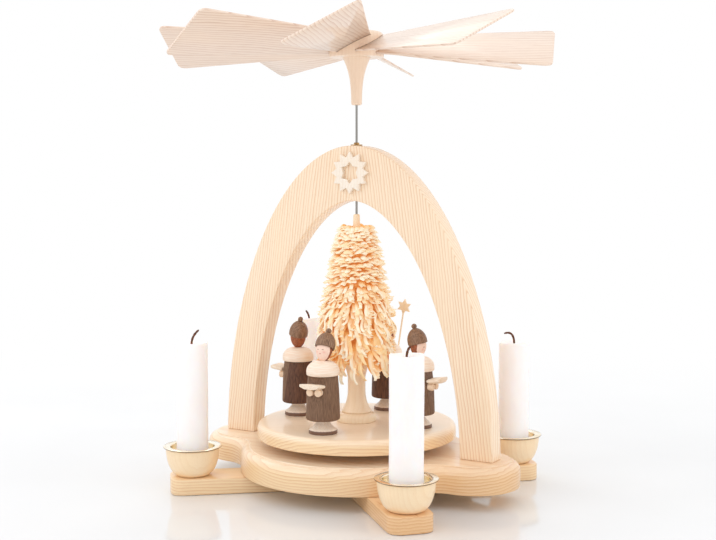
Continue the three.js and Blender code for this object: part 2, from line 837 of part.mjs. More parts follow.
// A head or hat leaned back about the middle of the collar's top
function leaned_back(geometry, angle) {
  return geometry.translate(0, 0, -collar_top).rotateY(radians(-angle)).translate(0, 0, collar_top);
}

// The head is an egg that stands on its narrow end, sunk a little into a domed collar
function figure_bust(head_tip) {
  const profile = [[0, collar_bottom], [collar_radius, collar_bottom]];
  const collar_steps = 4;
  for (let i = 0; i < collar_steps; i += 1) {
    const angle = (Math.PI / 2) * (i / collar_steps);
    const rise = collar_edge + (collar_height - collar_edge) * Math.sin(angle);
    profile.push([neck_radius + (collar_radius - neck_radius) * Math.cos(angle), collar_bottom + rise]);
  }
  profile.push([neck_radius, collar_top], [0, collar_top]);
  const egg = [];
  const jaw_steps = 4;
  for (let i = 0; i <= jaw_steps; i += 1) {
    const drop = Math.sin((Math.PI / 2) * (1 - i / jaw_steps));
    egg.push([head_radius * (1 - drop ** 2) ** 0.6, head_level - drop * head_lower_height]);
  }
  const crown_steps = 3;
  for (let i = 1; i <= crown_steps; i += 1) {
    const angle = (Math.PI / 2) * (i / crown_steps);
    egg.push([head_radius * Math.cos(angle), head_level + head_radius * Math.sin(angle)]);
  }
  egg[0][0] = 0;
  egg[egg.length - 1][0] = 0;
  return joined([turned(profile, 16), leaned_back(turned(egg, 12), head_tip)]);
}

// Domed hat with a ball on top, hollow below so that it fits over the head, tilted back
function figure_hat(head_tip) {
  const hollow = head_radius + hat_clearance;
  const profile = [[hat_radius - 0.4, hat_bottom]];
  const dome_steps = 4;
  const dome_height = hat_height - hat_band;
  for (let i = 0; i < dome_steps; i += 1) {
    const angle = (Math.PI / 2) * (i / dome_steps);
    profile.push([hat_radius * Math.cos(angle), hat_bottom + hat_band + dome_height * Math.sin(angle)]);
  }
  const knob = hat_bottom + hat_height + pompom_radius * 0.6;
  const knob_steps = 3;
  for (let i = 0; i <= knob_steps; i += 1) {
    const angle = Math.PI * (0.28 + (0.72 * i) / knob_steps);
    profile.push([pompom_radius * Math.sin(angle), knob - pompom_radius * Math.cos(angle)]);
  }
  profile[profile.length - 1][0] = 0;
  const brim = Math.asin(hat_above_head / hollow);
  const hollow_steps = 3;
  for (let i = 0; i <= hollow_steps; i += 1) {
    const angle = Math.PI / 2 + ((brim - Math.PI / 2) * i) / hollow_steps;
    const radius = i === 0 ? 0 : hollow * Math.cos(angle);
    profile.push([radius, head_level + hollow * Math.sin(angle)]);
  }
  profile.push(profile[0]);
  const hat = turned(profile, 14);
  hat.translate(0, 0, -head_level).rotateY(radians(-hat_tilt)).translate(0, 0, head_level);
  return leaned_back(hat, head_tip);
}

function hands(reach, clearance) {
  return [-1, 1].map((side) => {
    const hand = new THREE.SphereGeometry(hand_radius + clearance, 8, 6);
    return hand.translate(reach, side * hand_spread, hand_level);
  });
}

// An open book, thickest at its spine, that rests on the two hands and is tilted about them
function song_book() {
  const half = book_width / 2;
  const rise = (half - book_flat_half) * Math.tan(radians(book_fold));
  const section = new THREE.Shape();
  section.moveTo(-book_flat_half, 0);
  section.lineTo(book_flat_half, 0);
  section.lineTo(half, rise);
  section.lineTo(half, rise + book_thickness);
  section.lineTo(0, book_spine_thickness);
  section.lineTo(-half, rise + book_thickness);
  section.lineTo(-half, rise);
  section.closePath();
  const book = plate(section, -book_depth / 2, book_depth, 1);
  book.rotateX(Math.PI / 2).rotateZ(Math.PI / 2);
  const middle = cape_front(hand_level) + 2 * glue_gap + book_depth / 2;
  book.translate(middle - hand_reach, 0, 0).rotateY(radians(-book_tilt));
  book.translate(hand_reach, 0, hand_level + hand_radius - book_grip);
  return joined([book, ...hands(hand_reach, 0)]);
}

function star_staff() {
  const shape = star_shape(staff_star_points, staff_star_tip_radius, staff_star_notch_radius);
  const star = plate(shape, -staff_star_thickness / 2, staff_star_thickness, 1);
  star.rotateX(Math.PI / 2).rotateZ(Math.PI / 2);
  star.translate(0, 0, staff_length + staff_star_notch_radius);
  return joined([rod(staff_radius, 0, staff_length + 1, 8), star]);
}

function place_staff(mesh) {
  mesh.rotation.x = radians(staff_lean);
  mesh.position.set(staff_reach, 0, hand_level - staff_below_hands);
  mesh.updateMatrix();
}

function staff_hands() {
  const bar = new THREE.BoxGeometry(hand_radius, 2 * hand_spread, hand_radius);
  const body = joined([bar.translate(staff_reach, 0, hand_level), ...hands(staff_reach, 0)]);
  const bore = rod(staff_radius + glue_gap, -cut_overrun, staff_length, 8).rotateX(radians(staff_lean));
  return cut(body, [bore.translate(staff_reach, 0, hand_level - staff_below_hands)]);
}

// Each figure: name, place round the tree, how far its head leans back
const figure_places = [["right", 0, 0], ["back", 90, 0], ["left", 180, 0], ["front", 270, front_head_tip]];
for (const [name, angle, head_tip] of figure_places) {
  const arm = turned_group(carousel, angle);
  const figure = new THREE.Group();
  figure.position.set(figure_circle_radius, 0, turntable_top);
  arm.add(figure);
  add(figure, `figure_foot_${name}`, figure_foot(), maple);
  const reach = name === "back" ? staff_reach : hand_reach;
  add(figure, `figure_cape_${name}`, figure_cape(reach), walnut);
  add(figure, `figure_bust_${name}`, figure_bust(head_tip), maple);
  add(figure, `figure_hat_${name}`, figure_hat(head_tip), walnut);
  if (name === "back") {
    add(figure, `hands_${name}`, staff_hands(), maple);
    place_staff(add(figure, "star_staff", star_staff(), maple));
  } else {
    add(figure, `song_book_${name}`, song_book(), maple);
  }
}

export default pyramid;
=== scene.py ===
"""A one-tier wooden candle pyramid, dressed for its photograph.

Shapes are drawn in millimetres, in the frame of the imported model: the spindle is the Z axis, the table
top is z = 0 and the board arch stands in the XZ plane with its front to -Y. Each finished piece is
scaled to metres when it is placed.
"""
import math
import random

import bmesh
import bpy
from mathutils import Matrix, Vector


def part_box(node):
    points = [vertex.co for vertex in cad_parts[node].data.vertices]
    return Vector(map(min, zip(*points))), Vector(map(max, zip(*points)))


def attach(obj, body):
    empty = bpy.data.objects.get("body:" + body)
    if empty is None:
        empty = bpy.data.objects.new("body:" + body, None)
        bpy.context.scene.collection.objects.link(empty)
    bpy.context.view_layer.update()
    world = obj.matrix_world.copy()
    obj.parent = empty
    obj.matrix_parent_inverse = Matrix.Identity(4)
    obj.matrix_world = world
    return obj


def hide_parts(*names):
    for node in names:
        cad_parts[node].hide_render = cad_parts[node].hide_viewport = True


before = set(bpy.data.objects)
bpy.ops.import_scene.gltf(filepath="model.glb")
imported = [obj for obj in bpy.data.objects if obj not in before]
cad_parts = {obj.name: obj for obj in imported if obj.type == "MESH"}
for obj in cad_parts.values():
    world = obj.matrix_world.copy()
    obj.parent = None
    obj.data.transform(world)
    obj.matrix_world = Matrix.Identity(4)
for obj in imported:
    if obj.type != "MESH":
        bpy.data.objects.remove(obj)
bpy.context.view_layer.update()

MM = 0.001
PLACES = ["front_left", "front_right", "back_right", "back_left"]
SIDES = {"right": 0, "back": 90, "left": 180, "front": 270}
CAROUSEL_TURN = 3


def box(node):
    """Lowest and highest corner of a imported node, in millimetres."""
    low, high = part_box(node)
    return low / MM, high / MM


def middle(node):
    low, high = box(node)
    return (low + high) / 2


def turn(degrees, axis="Z"):
    return Matrix.Rotation(math.radians(degrees), 4, axis)


def move(x, y, z):
    return Matrix.Translation(Vector((x, y, z)))


def in_scene(name, data):
    """A new object in the scene."""
    thing = bpy.data.objects.new(name, data)
    bpy.context.scene.collection.objects.link(thing)
    return thing


def aimed(thing, place, target):
    """Stands a camera or a lamp at a place and points it at a target."""
    thing.location = place
    thing.rotation_mode = "QUATERNION"
    thing.rotation_quaternion = (target - place).to_track_quat("-Z", "Y")


# Camera
PHOTO_WIDTH = 716
FOCAL_PIXELS = 1234.6
AXIS_PIXEL = 356.6
CAMERA_DISTANCE = 0.8637
CAMERA_AZIMUTH = 31.1
CAMERA_HEIGHT = 0.2202
CAMERA_PITCH = 4.52
SENSOR_WIDTH = 36


def from_camera(right, back, up):
    """A point by its place in the camera's own plan: to its right, away from the axis towards it, and up."""
    azimuth = math.radians(CAMERA_AZIMUTH)
    x = right * math.cos(azimuth) + back * math.sin(azimuth)
    y = right * math.sin(azimuth) - back * math.cos(azimuth)
    return Vector((x, y, up))


def add_camera():
    data = bpy.data.cameras.new("photo_camera")
    data.sensor_width = SENSOR_WIDTH
    data.lens = FOCAL_PIXELS / PHOTO_WIDTH * SENSOR_WIDTH
    data.shift_x = (PHOTO_WIDTH / 2 - AXIS_PIXEL) / PHOTO_WIDTH
    camera = in_scene("photo_camera", data)
    drop = CAMERA_DISTANCE * math.tan(math.radians(CAMERA_PITCH))
    aimed(camera, from_camera(0, CAMERA_DISTANCE, CAMERA_HEIGHT), Vector((0, 0, CAMERA_HEIGHT - drop)))
    bpy.context.scene.camera = camera


# Node trees: arithmetic on sockets, and one way to add any other node
class Socket:
    """A node's output that Python's operators turn into Math nodes."""

    def __init__(self, wiring, out):
        self.wiring = wiring
        self.out = out

    def math(self, operation, *others):
        return self.wiring.node("ShaderNodeMath", {"operation": operation}, dict(enumerate([self, *others])))

    def __add__(self, other):
        return self.math("ADD", other)

    def __sub__(self, other):
        return self.math("SUBTRACT", other)

    def __rsub__(self, other):
        return self.wiring.node("ShaderNodeMath", {"operation": "SUBTRACT"}, {0: other, 1: self})

    def __mul__(self, other):
        return self.math("MULTIPLY", other)

    def __truediv__(self, other):
        return self.math("DIVIDE", other)

    def __pow__(self, other):
        return self.math("POWER", other)

    __radd__ = __add__
    __rmul__ = __mul__

    def ramp(self, low, high):
        """0 at low and 1 at high, eased at both ends."""
        inputs = {"Value": self, "From Min": low, "From Max": high}
        return self.wiring.node("ShaderNodeMapRange", {"interpolation_type": "SMOOTHSTEP"}, inputs)

    def within(self, low, high):
        """The value, held between two limits."""
        return self.math("MAXIMUM", low).math("MINIMUM", high)


def far(a, b):
    """How far two offsets at right angles lead."""
    return (a * a + b * b) ** 0.5


class Wiring:
    """A node tree being filled in."""

    def __init__(self, tree):
        self.tree = tree
        self.tree.nodes.clear()

    def node(self, kind, settings=None, inputs=None, output=0):
        node = self.tree.nodes.new(kind)
        for key, value in (settings or {}).items():
            setattr(node, key, value)
        for key, value in (inputs or {}).items():
            if isinstance(value, Socket):
                self.tree.links.new(value.out, node.inputs[key])
            else:
                node.inputs[key].default_value = value
        return Socket(self, node.outputs[output]) if len(node.outputs) else node

    def mix(self, factor, first, second):
        """Blends two colours."""
        first, second = (c if isinstance(c, Socket) else (*c, 1) for c in (first, second))
        return self.node("ShaderNodeMix", {"data_type": "RGBA"}, {0: factor, 6: first, 7: second}, 2)

    def vector(self, operation, *values):
        return self.node("ShaderNodeVectorMath", {"operation": operation}, dict(enumerate(values)))

    def joined(self, x, y, z):
        return self.node("ShaderNodeCombineXYZ", None, {0: x, 1: y, 2: z})

    def parts(self, vector):
        split = self.node("ShaderNodeSeparateXYZ", None, {0: vector})
        return [Socket(self, out) for out in split.out.node.outputs]

    def noise(self, place, scale, detail=2.0, roughness=0.5):
        inputs = {"Vector": place, "Scale": scale, "Detail": detail, "Roughness": roughness}
        return self.node("ShaderNodeTexNoise", None, inputs)

    def streaks(self, parts, scales, detail=2.0, roughness=0.5):
        """Noise with a scale of its own along each direction."""
        place = self.joined(*(part * scale for part, scale in zip(parts, scales)))
        return self.noise(place, 1.0, detail, roughness)


class Finish(Wiring):
    """A surface finish: a material whose Principled shader the caller feeds."""

    def __init__(self, name, roughness=0.5, **fixed):
        self.material = bpy.data.materials.new(name)
        self.material.use_nodes = True
        super().__init__(self.material.node_tree)
        fixed = {key.replace("_", " "): value for key, value in fixed.items()}
        self.shader = self.node("ShaderNodeBsdfPrincipled", None, {"Roughness": roughness, **fixed})
        self.surface = self.node("ShaderNodeOutputMaterial", None, {0: self.shader})

    def feed(self, name, socket):
        self.tree.links.new(socket.out, self.shader.out.node.inputs[name])

    def attribute(self, name):
        """A vector that a mesh keeps at its points."""
        settings = {"attribute_type": "GEOMETRY", "attribute_name": name}
        return self.node("ShaderNodeAttribute", settings, None, 1)

    def local(self):
        """The piece's own coordinates in millimetres, before it was placed."""
        return self.parts(self.attribute("grain"))

    def object_place(self):
        return self.node("ShaderNodeTexCoord", None, None, 3)

    def object_mm(self):
        """Object coordinates in millimetres."""
        return self.vector("MULTIPLY", self.object_place(), (1 / MM, 1 / MM, 1 / MM))

    def done(self, colour, roughness, height, strength, distance=0.0003):
        """Feeds the colour, roughness and relief, and gives the material."""
        self.feed("Base Color", colour)
        self.feed("Roughness", roughness)
        inputs = {"Height": height, "Strength": strength, "Distance": distance}
        self.feed("Normal", self.node("ShaderNodeBump", None, inputs))
        return self.material


# Colours, a light and a dark one where the two are mixed
def linear(red, green, blue):
    """A screen colour, 0 to 255, as the linear values that shaders take."""
    def channel(value):
        share = value / 255
        return share / 12.92 if share <= 0.04045 else ((share + 0.055) / 1.055) ** 2.4
    return (channel(red), channel(green), channel(blue))


def shades(light, dark):
    return (linear(*light), linear(*dark))


ASH = shades((254, 233, 206), (227, 178, 132))
MAPLE = shades((254, 232, 200), (240, 204, 158))
STAR_MAPLE = shades((251, 240, 226), (240, 216, 188))
BOWL_MAPLE = shades((255, 229, 191), (241, 200, 150))
HUB_MAPLE = shades((247, 222, 198), (222, 184, 150))
VENEER = shades((245, 225, 208), (204, 164, 138))
# painted shade on the boards' sides
SIDE_SHADE_TINT = (0.965, 0.88, 0.72)
# painted shade towards one end of a board
END_SHADE_TINT = (0.9, 0.77, 0.65)
COAT_ROUND = shades((116, 76, 54), (58, 36, 25))
COAT_FRONT = shades((137, 104, 79), (82, 54, 36))
CAP = shades((168, 130, 100), (98, 66, 47))
FOOT_PAINT = shades((249, 232, 214), (240, 213, 184))
FOOT_RIM = linear(112, 78, 60)
COLLAR = shades((253, 238, 222), (245, 219, 195))
SKIN = shades((250, 219, 200), (246, 208, 188))
HAIR = shades((176, 100, 62), (124, 66, 38))
CHEEK = linear(236, 160, 144)
EYE = linear(120, 84, 66)
MOUTH = linear(208, 106, 96)
PEG_END = shades((247, 222, 195), (214, 170, 132))
PEG_FLECK = linear(231, 194, 158)
PAPER_WOOD = shades((250, 235, 216), (238, 213, 186))
CREAM_CURL = shades((255, 248, 232), (252, 235, 203))
TINTED_CURL = linear(252, 220, 166)
# painted shade and glow deep in the shaving tree
CURL_GAP_SHADE = linear(248, 189, 110)
BRASS = shades((254, 246, 230), (247, 230, 198))
OLD_BRASS = shades((206, 170, 118), (150, 114, 72))
# painted shadow and dark reflection under the pans' rims
RIM_SHADOW = linear(104, 76, 48)
STEEL = shades((178, 176, 172), (132, 128, 124))
WAX = shades((251, 247, 247), (249, 243, 242))
CHAR = shades((122, 72, 46), (58, 34, 24))
TABLE_TOP = ((0.81, 0.82, 0.835), (0.84, 0.85, 0.865))


# Wood
LACQUER = {"Coat_Weight": 0.5, "Coat_Roughness": 0.12}
WARM_SHARES = (1.0, 0.95, 0.87)
FLECK_SHADE = 0.86


def year_rings(finish, grain, spacing, pith, wander):
    """How late in its year the wood grew, 0 to 1, for boards cut beside a pith that runs along the grain."""
    along, across, deep = grain
    pith_across, pith_deep = pith
    drift = finish.streaks(grain, (0.006, 0.02, 0.02)) - 0.5
    fine = finish.streaks(grain, (0.05, 0.25, 0.25), 1.0) - 0.5
    radius = far(across - pith_across, deep - pith_deep) + drift * wander + fine * (0.7 * spacing)
    years = radius / spacing
    late = years.math("FRACT")
    strength = finish.noise(finish.joined(years.math("FLOOR") * 3.7, along * 0.004, 0.0), 1.0, 1.0)
    return late ** 3.0 * (1 - late.ramp(0.9, 1.0)) * (0.45 + strength * 1.1)


def wood(finish, grain, tones, spacing, pith, wander, contrast, sawn=None, heart=None):
    """Pale wood with year rings and flecks. The grain is how far along, across and deep a point lies.

    Below the heights given for the sides it is browner, with stronger rings: painted shade on the sides.
    Past the positions given along the grain it is darker and more orange: painted shade towards one end.
    """
    along, _, deep = grain
    light, dark = tones
    rings = year_rings(finish, grain, spacing, pith, wander)
    fleck = finish.streaks(grain, (0.12, 3.2, 3.2), 3.0, 0.65)
    broad = finish.streaks(grain, (0.012, 0.05, 0.05), 1.0)
    # Painted shade: below the given heights the sides are browner, with stronger rings.
    edge = 1 - deep.ramp(*sawn) if sawn else 0.0
    base = finish.mix(rings * (edge + 1) * contrast, light, dark)
    flecked = finish.mix(fleck.ramp(0.5, 0.78) * 0.3, base, [channel * FLECK_SHADE for channel in dark])
    warm = [channel * share for channel, share in zip(light, WARM_SHARES)]
    colour = finish.mix(broad.ramp(0.4, 0.75) * 0.35, flecked, warm)
    if sawn:
        colour = finish.vector("MULTIPLY", colour, finish.mix(edge, (1, 1, 1), SIDE_SHADE_TINT))
    # Painted shade: darker and more orange along the grain past the given positions.
    if heart:
        colour = finish.vector("MULTIPLY", colour, finish.mix(along.ramp(*heart), (1, 1, 1), END_SHADE_TINT))
    return finish.done(colour, 0.36 + rings * 0.1 + fleck * 0.16, rings * 0.5 + fleck * 0.5, 0.12)


def arch_ash():
    """Straight grain that leans in towards the crown on both legs."""
    finish = Finish("arch_ash", **LACQUER)
    x, y, z = finish.parts(finish.object_mm())
    lean = math.radians(ARCH_GRAIN_LEAN)
    away = x.math("ABSOLUTE")
    across = away * math.cos(lean) + z * math.sin(lean)
    along = z * math.cos(lean) - away * math.sin(lean) + x.ramp(-0.2, 0.2) * 300
    return wood(finish, (along, across, y), ASH, spacing=1.8, pith=(-320, 250), wander=6.0, contrast=1.0)


def board_wood(name, tones=ASH, **growth):
    """Grain that runs along the piece's own X axis."""
    finish = Finish(name, **LACQUER)
    return wood(finish, finish.local(), tones, **growth)


def turned_wood(name, tones=MAPLE, contrast=0.28):
    """Even pale wood whose grain runs up the piece."""
    finish = Finish(name, **LACQUER)
    x, y, z = finish.local()
    return wood(finish, (z, x, y), tones, spacing=2.4, pith=(-38, 21), wander=4.0, contrast=contrast)


def cap_stain():
    """The caps: brown stained wood with open grain that runs up the piece."""
    finish = Finish("cap_stain")
    x, y, z = finish.local()
    rings = year_rings(finish, (z, x, y), 1.3, (-60, 35), 4.0)
    streak = finish.streaks((x, y, z), (2.4, 2.4, 0.16), 3.0, 0.6)
    base = finish.mix(streak.ramp(0.3, 0.72), *CAP)
    return finish.done(finish.mix(rings * 0.35, base, CAP[1]), 0.42 + streak * 0.15, streak, 0.3)


def coat_stain(cape_top):
    """The coats: brown stain, smoother and greyer on the flat front."""
    finish = Finish("coat_stain")
    x, y, z = finish.local()
    slope = math.tan(math.radians(CAPE_SLOPE))
    flat = (x - (CAPE_FRONT + cape_top * slope) + z * slope).ramp(-0.35, -0.1)
    streak = finish.streaks((x, y, z), (2.4, 2.4, 0.16), 3.0, 0.6)
    turned_side = finish.mix(streak.ramp(0.3, 0.72), *COAT_ROUND)
    milled = finish.mix(streak.ramp(0.3, 0.8), *COAT_FRONT)
    return finish.done(finish.mix(flat, turned_side, milled), 0.58 + streak * 0.15, streak, 0.3)


def foot_paint(rim_height):
    """The figures' feet: pale wood with a brown stained rim below a height."""
    finish = Finish("figure_foot_paint", **LACQUER)
    x, y, z = finish.local()
    streak = finish.streaks((x, y, z), (2.0, 2.0, 0.3))
    pale = finish.mix(streak.ramp(0.35, 0.7), *FOOT_PAINT)
    wobble = finish.streaks((x, y, z), (0.9, 0.9, 0.9), 1.0) - 0.5
    rim = 1 - (z + wobble * 0.5).ramp(rim_height - 0.15, rim_height + 0.15)
    return finish.done(finish.mix(rim, pale, FOOT_RIM), 0.45 + streak * 0.15, streak, 0.08)


def bust_paint(head_level, collar_top):
    """Pale collar, pink face with small closed eyes and mouth, and red-brown hair at the back of the head."""
    finish = Finish("figure_bust_paint")
    x, y, z = finish.local()
    streak = finish.streaks((x, y, z), (1.8, 1.8, 0.3))
    layer = finish.streaks((x, y, z), (0.15, 0.15, 2.6))
    collar = finish.mix(layer.ramp(0.35, 0.7), *COLLAR)
    height = (z - head_level) / HEAD_RADIUS
    side = y / HEAD_RADIUS
    either = side.math("ABSOLUTE")
    in_front = x.ramp(0, 1)
    face = finish.mix(streak.ramp(0.3, 0.75), *SKIN)
    face = finish.mix(blot(either, height, 0.46, -0.42, 0.22) * 0.45 * in_front, face, CHEEK)
    face = finish.mix(stroke(either, height, 0.32, -0.12, 0.13) * 0.75 * in_front, face, EYE)
    face = finish.mix(stroke(side, height, 0, -0.62, 0.14) * 0.8 * in_front, face, MOUTH)
    strand = finish.streaks((x, y, z), (1.2, 3.4, 0.5), 3.0)
    hair = finish.mix(strand.ramp(0.3, 0.7), *HAIR)
    ragged = finish.streaks((x, y, z), (0.8, 0.8, 0.8)) - 0.5
    behind = 1 - (x + ragged * 0.8 - height * 0.6).ramp(1.45, 1.8)
    above = z.ramp(collar_top - 0.15, collar_top + 0.15)
    colour = finish.mix(above, collar, finish.mix(behind, face, hair))
    return finish.done(colour, 0.5 + streak * 0.12, streak + strand * behind * above, 0.1)


def blot(side, height, at_side, at_height, radius):
    """A soft round spot on the face."""
    return 1 - far(side - at_side, height - at_height).ramp(radius * 0.3, radius)


def stroke(side, height, at_side, at_height, half_width, half_height=0.05):
    """A short painted stroke that sags at its ends."""
    a = (side - at_side) / half_width
    b = (height - at_height + a * a * (half_height * 0.9)) / half_height
    return 1 - far(a, b).ramp(0.75, 1.15)


def hand_wood(hand_level):
    """Peg ends: pale end grain with rings round each peg's own X axis."""
    finish = Finish("hand_wood")
    x, y, z = finish.local()
    ring = (far(y.math("ABSOLUTE") - HAND_SPREAD, z - hand_level) * 1.1).math("FRACT")
    grain = finish.streaks((x, y, z), (1.4, 1.4, 1.4))
    base = finish.mix(ring.ramp(0.45, 1.0) * 0.5, *PEG_END)
    colour = finish.mix(grain.ramp(0.4, 0.8) * 0.4, base, PEG_FLECK)
    return finish.done(colour, 0.5 + grain * 0.15, grain, 0.12)


def book_wood():
    """The song books: smooth pale wood."""
    finish = Finish("book_wood")
    grain = finish.streaks(finish.local(), (0.3, 2.0, 2.0), 3.0)
    return finish.done(finish.mix(grain.ramp(0.3, 0.75), *PAPER_WOOD), 0.5 + grain * 0.15, grain, 0.1)


def shaving_wood(foot):
    """Thin shavings: cream outside, with painted shade in deep orange where they are deep in the tree, near
    their roots and lower down, and a faint painted glow in their own colour.
    """
    # The emission is a painted glow: the shavings shine faintly in their own colour.
    finish = Finish("shaving_wood", Emission_Strength=0.1)
    x, y, z = finish.parts(finish.object_mm())
    along, across, luck = finish.parts(finish.attribute("curl"))
    depth = far(x, y) / mantle_socket(z - foot)
    low = 1 - (z - foot).ramp(CURLS_START + 20, CURLS_START + 60)
    root = 1 - along.ramp(0.2, 0.75)
    # Painted shade: deep orange deep in the tree, near the shavings' roots and lower down.
    inner = (1 - (depth - low * 0.12).ramp(0.66, 0.9) + root * 0.35).math("MINIMUM", 1.0)
    streak = finish.noise(finish.joined(across * 14, luck * 40, along * 2), 1.0)
    cream = finish.mix(streak.ramp(0.3, 0.7), *CREAM_CURL)
    tinted = finish.mix(luck.ramp(0.45, 1.0) * (0.6 + low * 0.4), cream, TINTED_CURL)
    colour = finish.mix(inner, tinted, CURL_GAP_SHADE)
    finish.feed("Emission Color", colour)
    return finish.done(colour, 0.5 + streak * 0.15, streak, 0.15)


# Metal, wax and wick
def sheet_brass(name, tones, rim=None):
    """Brushed brass; on a pan, a dark band is painted on the cut edge, at the rim's radius and below its top,
    as painted shadow and dark reflection.
    """
    finish = Finish(name, Metallic=1.0)
    x, y, z = finish.local()
    out = far(x, y)
    brushed = finish.noise(finish.joined(out * 3, y.math("ARCTAN2", x) * 0.6, z * 3), 1.0, 3.0)
    cloud = finish.noise(finish.object_mm(), 0.12, 3.0)
    base = finish.mix(cloud.ramp(0.35, 0.7), *tones)
    if rim:
        radius, height = rim
        # Painted shadow and dark reflection: a dark band under the pan's rim.
        edge = out.ramp(radius - 0.35, radius - 0.15) * (1 - z.ramp(height - 0.2, height - 0.05))
        base = finish.mix(edge, base, RIM_SHADOW)
    return finish.done(base, 0.14 + cloud * 0.1 + brushed * 0.06, brushed, 0.05)


def drawn_steel():
    """Steel rod with fine lines along it."""
    finish = Finish("drawn_steel", Metallic=1.0)
    draw = finish.streaks(finish.parts(finish.object_mm()), (6, 6, 0.05), 3.0)
    return finish.done(finish.mix(draw.ramp(0.3, 0.7), *STEEL), 0.22 + draw * 0.15, draw, 0.06)


def candle_wax():
    """White wax with light in it, a faint warm painted glow, and a faintly uneven skin."""
    depth = {"Subsurface_Weight": 0.35, "Subsurface_Radius": (0.004, 0.003, 0.0022), "Subsurface_Scale": 1.0}
    # Painted glow: the wax gives off a little warm light of its own.
    glow = {"Emission_Color": (1.0, 0.93, 0.88, 1.0), "Emission_Strength": 0.07}
    finish = Finish("candle_wax", **depth, **glow)
    mottled = finish.streaks(finish.local(), (0.12, 0.12, 0.05), 3.0)
    return finish.done(finish.mix(mottled.ramp(0.3, 0.7), *WAX), 0.42 + mottled * 0.2, mottled, 0.12, 0.0006)


def wick_char():
    """Burnt wick with twisted strands."""
    finish = Finish("wick_char")
    place = finish.object_mm()
    x, y, z = finish.parts(place)
    twist = (z * 3.2 + y.math("ARCTAN2", x) * 2).math("SINE")
    ash = finish.noise(place, 1.6, 3.0)
    return finish.done(finish.mix(ash.ramp(0.35, 0.7), *CHAR), 0.75 + ash * 0.2, twist + ash, 0.4)


# Meshes, in millimetres
EDGE_STEPS = 3
SHARP = 40
OVERRUN = 5


def merged(*meshes):
    """One mesh in place of several, with doubles merged and faces turned outwards."""
    work = bmesh.new()
    for mesh in meshes:
        work.from_mesh(mesh)
        bpy.data.meshes.remove(mesh)
    bmesh.ops.remove_doubles(work, verts=work.verts, dist=1e-5)
    bmesh.ops.recalc_face_normals(work, faces=work.faces)
    result = bpy.data.meshes.new("merged")
    work.to_mesh(result)
    work.free()
    return result


def plain_mesh(vertices, faces):
    data = bpy.data.meshes.new("plain")
    data.from_pydata([tuple(point) for point in vertices], [], faces)
    return merged(data)


def eased(points, steps=6):
    """A polyline whose corners (x, y, radius) are rounded by short curves."""
    out = []
    for i, point in enumerate(points):
        if len(point) == 2:
            out.append(Vector(point))
            continue
        here = Vector(point[:2])
        before = Vector(points[i - 1][:2]) - here
        after = Vector(points[(i + 1) % len(points)][:2]) - here
        reach = min(point[2], before.length * 0.5, after.length * 0.5)
        start = here + before.normalized() * reach
        end = here + after.normalized() * reach
        for step in range(steps + 1):
            share = step / steps
            out.append(start.lerp(here, share).lerp(here.lerp(end, share), share))
    return [(point[0], point[1]) for point in out]


def arc(x, y, size, start, end, steps):
    """Points on an arc round (x, y), from the start angle up to, but without, the end angle."""
    across, up = size if isinstance(size, tuple) else (size, size)
    angles = [start + (end - start) * i / steps for i in range(steps)]
    return [(x + across * math.cos(a), y + up * math.sin(a)) for a in angles]


def rectangle(left, right, front, back):
    return [(left, front), (right, front), (right, back), (left, back)]


def turned(profile, segments=72):
    """A turned body from (radius, height) pairs. A profile that stays off the axis closes on itself."""
    ring = profile[0][0] > 0
    vertices = []
    rows = []
    for radius, height in profile:
        if radius <= 1e-6:
            rows.append([len(vertices)] * segments)
            vertices.append((0, 0, height))
            continue
        rows.append(list(range(len(vertices), len(vertices) + segments)))
        vertices += [(x, y, height) for x, y in arc(0, 0, radius, 0, 2 * math.pi, segments)]
    faces = []
    for low, high in zip(rows, rows[1:] + rows[:1] if ring else rows[1:]):
        for i in range(segments):
            j = (i + 1) % segments
            corners = [low[i], low[j], high[j], high[i]]
            face = [c for k, c in enumerate(corners) if c != corners[k - 1]]
            if len(face) > 2:
                faces.append(face)
    return plain_mesh(vertices, faces)


def rod(radius, low, high, segments):
    return turned([(0, low), (radius, low), (radius, high), (0, high)], segments)


def lofted(rings):
    """A closed body through rings of points that all have the same count."""
    count = len(rings[0])
    vertices = [point for ring in rings for point in ring]
    faces = [list(range(count))[::-1], list(range(len(vertices) - count, len(vertices)))]
    for level in range(len(rings) - 1):
        for i in range(count):
            a, b = level * count + i, level * count + (i + 1) % count
            faces.append([a, b, b + count, a + count])
    return plain_mesh(vertices, faces)


def board(outline, bottom, top):
    return lofted([[(x, y, level) for x, y in outline] for level in (bottom, top)])


def moved(mesh, matrix):
    mesh.transform(matrix)
    return mesh


def evaluated(thing):
    """The object's mesh with its modifiers applied; the object itself is removed."""
    bpy.context.view_layer.update()
    graph = bpy.context.evaluated_depsgraph_get()
    mesh = bpy.data.meshes.new_from_object(thing.evaluated_get(graph))
    bpy.data.objects.remove(thing)
    return mesh


def cut(mesh, tools):
    """The mesh with the tools' shapes cut out of it."""
    thing = in_scene("work", mesh)
    helpers = [in_scene("tool", tool) for tool in tools]
    for helper in helpers:
        step = thing.modifiers.new("cut", "BOOLEAN")
        step.operation = "DIFFERENCE"
        step.solver = "EXACT"
        step.object = helper
    result = evaluated(thing)
    for helper in helpers:
        bpy.data.objects.remove(helper)
    return result


def softened(mesh, width, segments=EDGE_STEPS, angle=30):
    """Rounds every edge sharper than the angle."""
    thing = in_scene("work", mesh)
    step = thing.modifiers.new("edges", "BEVEL")
    step.width = width
    step.segments = segments
    step.limit_method = "ANGLE"
    step.angle_limit = math.radians(angle)
    step.use_clamp_overlap = True
    return evaluated(thing)


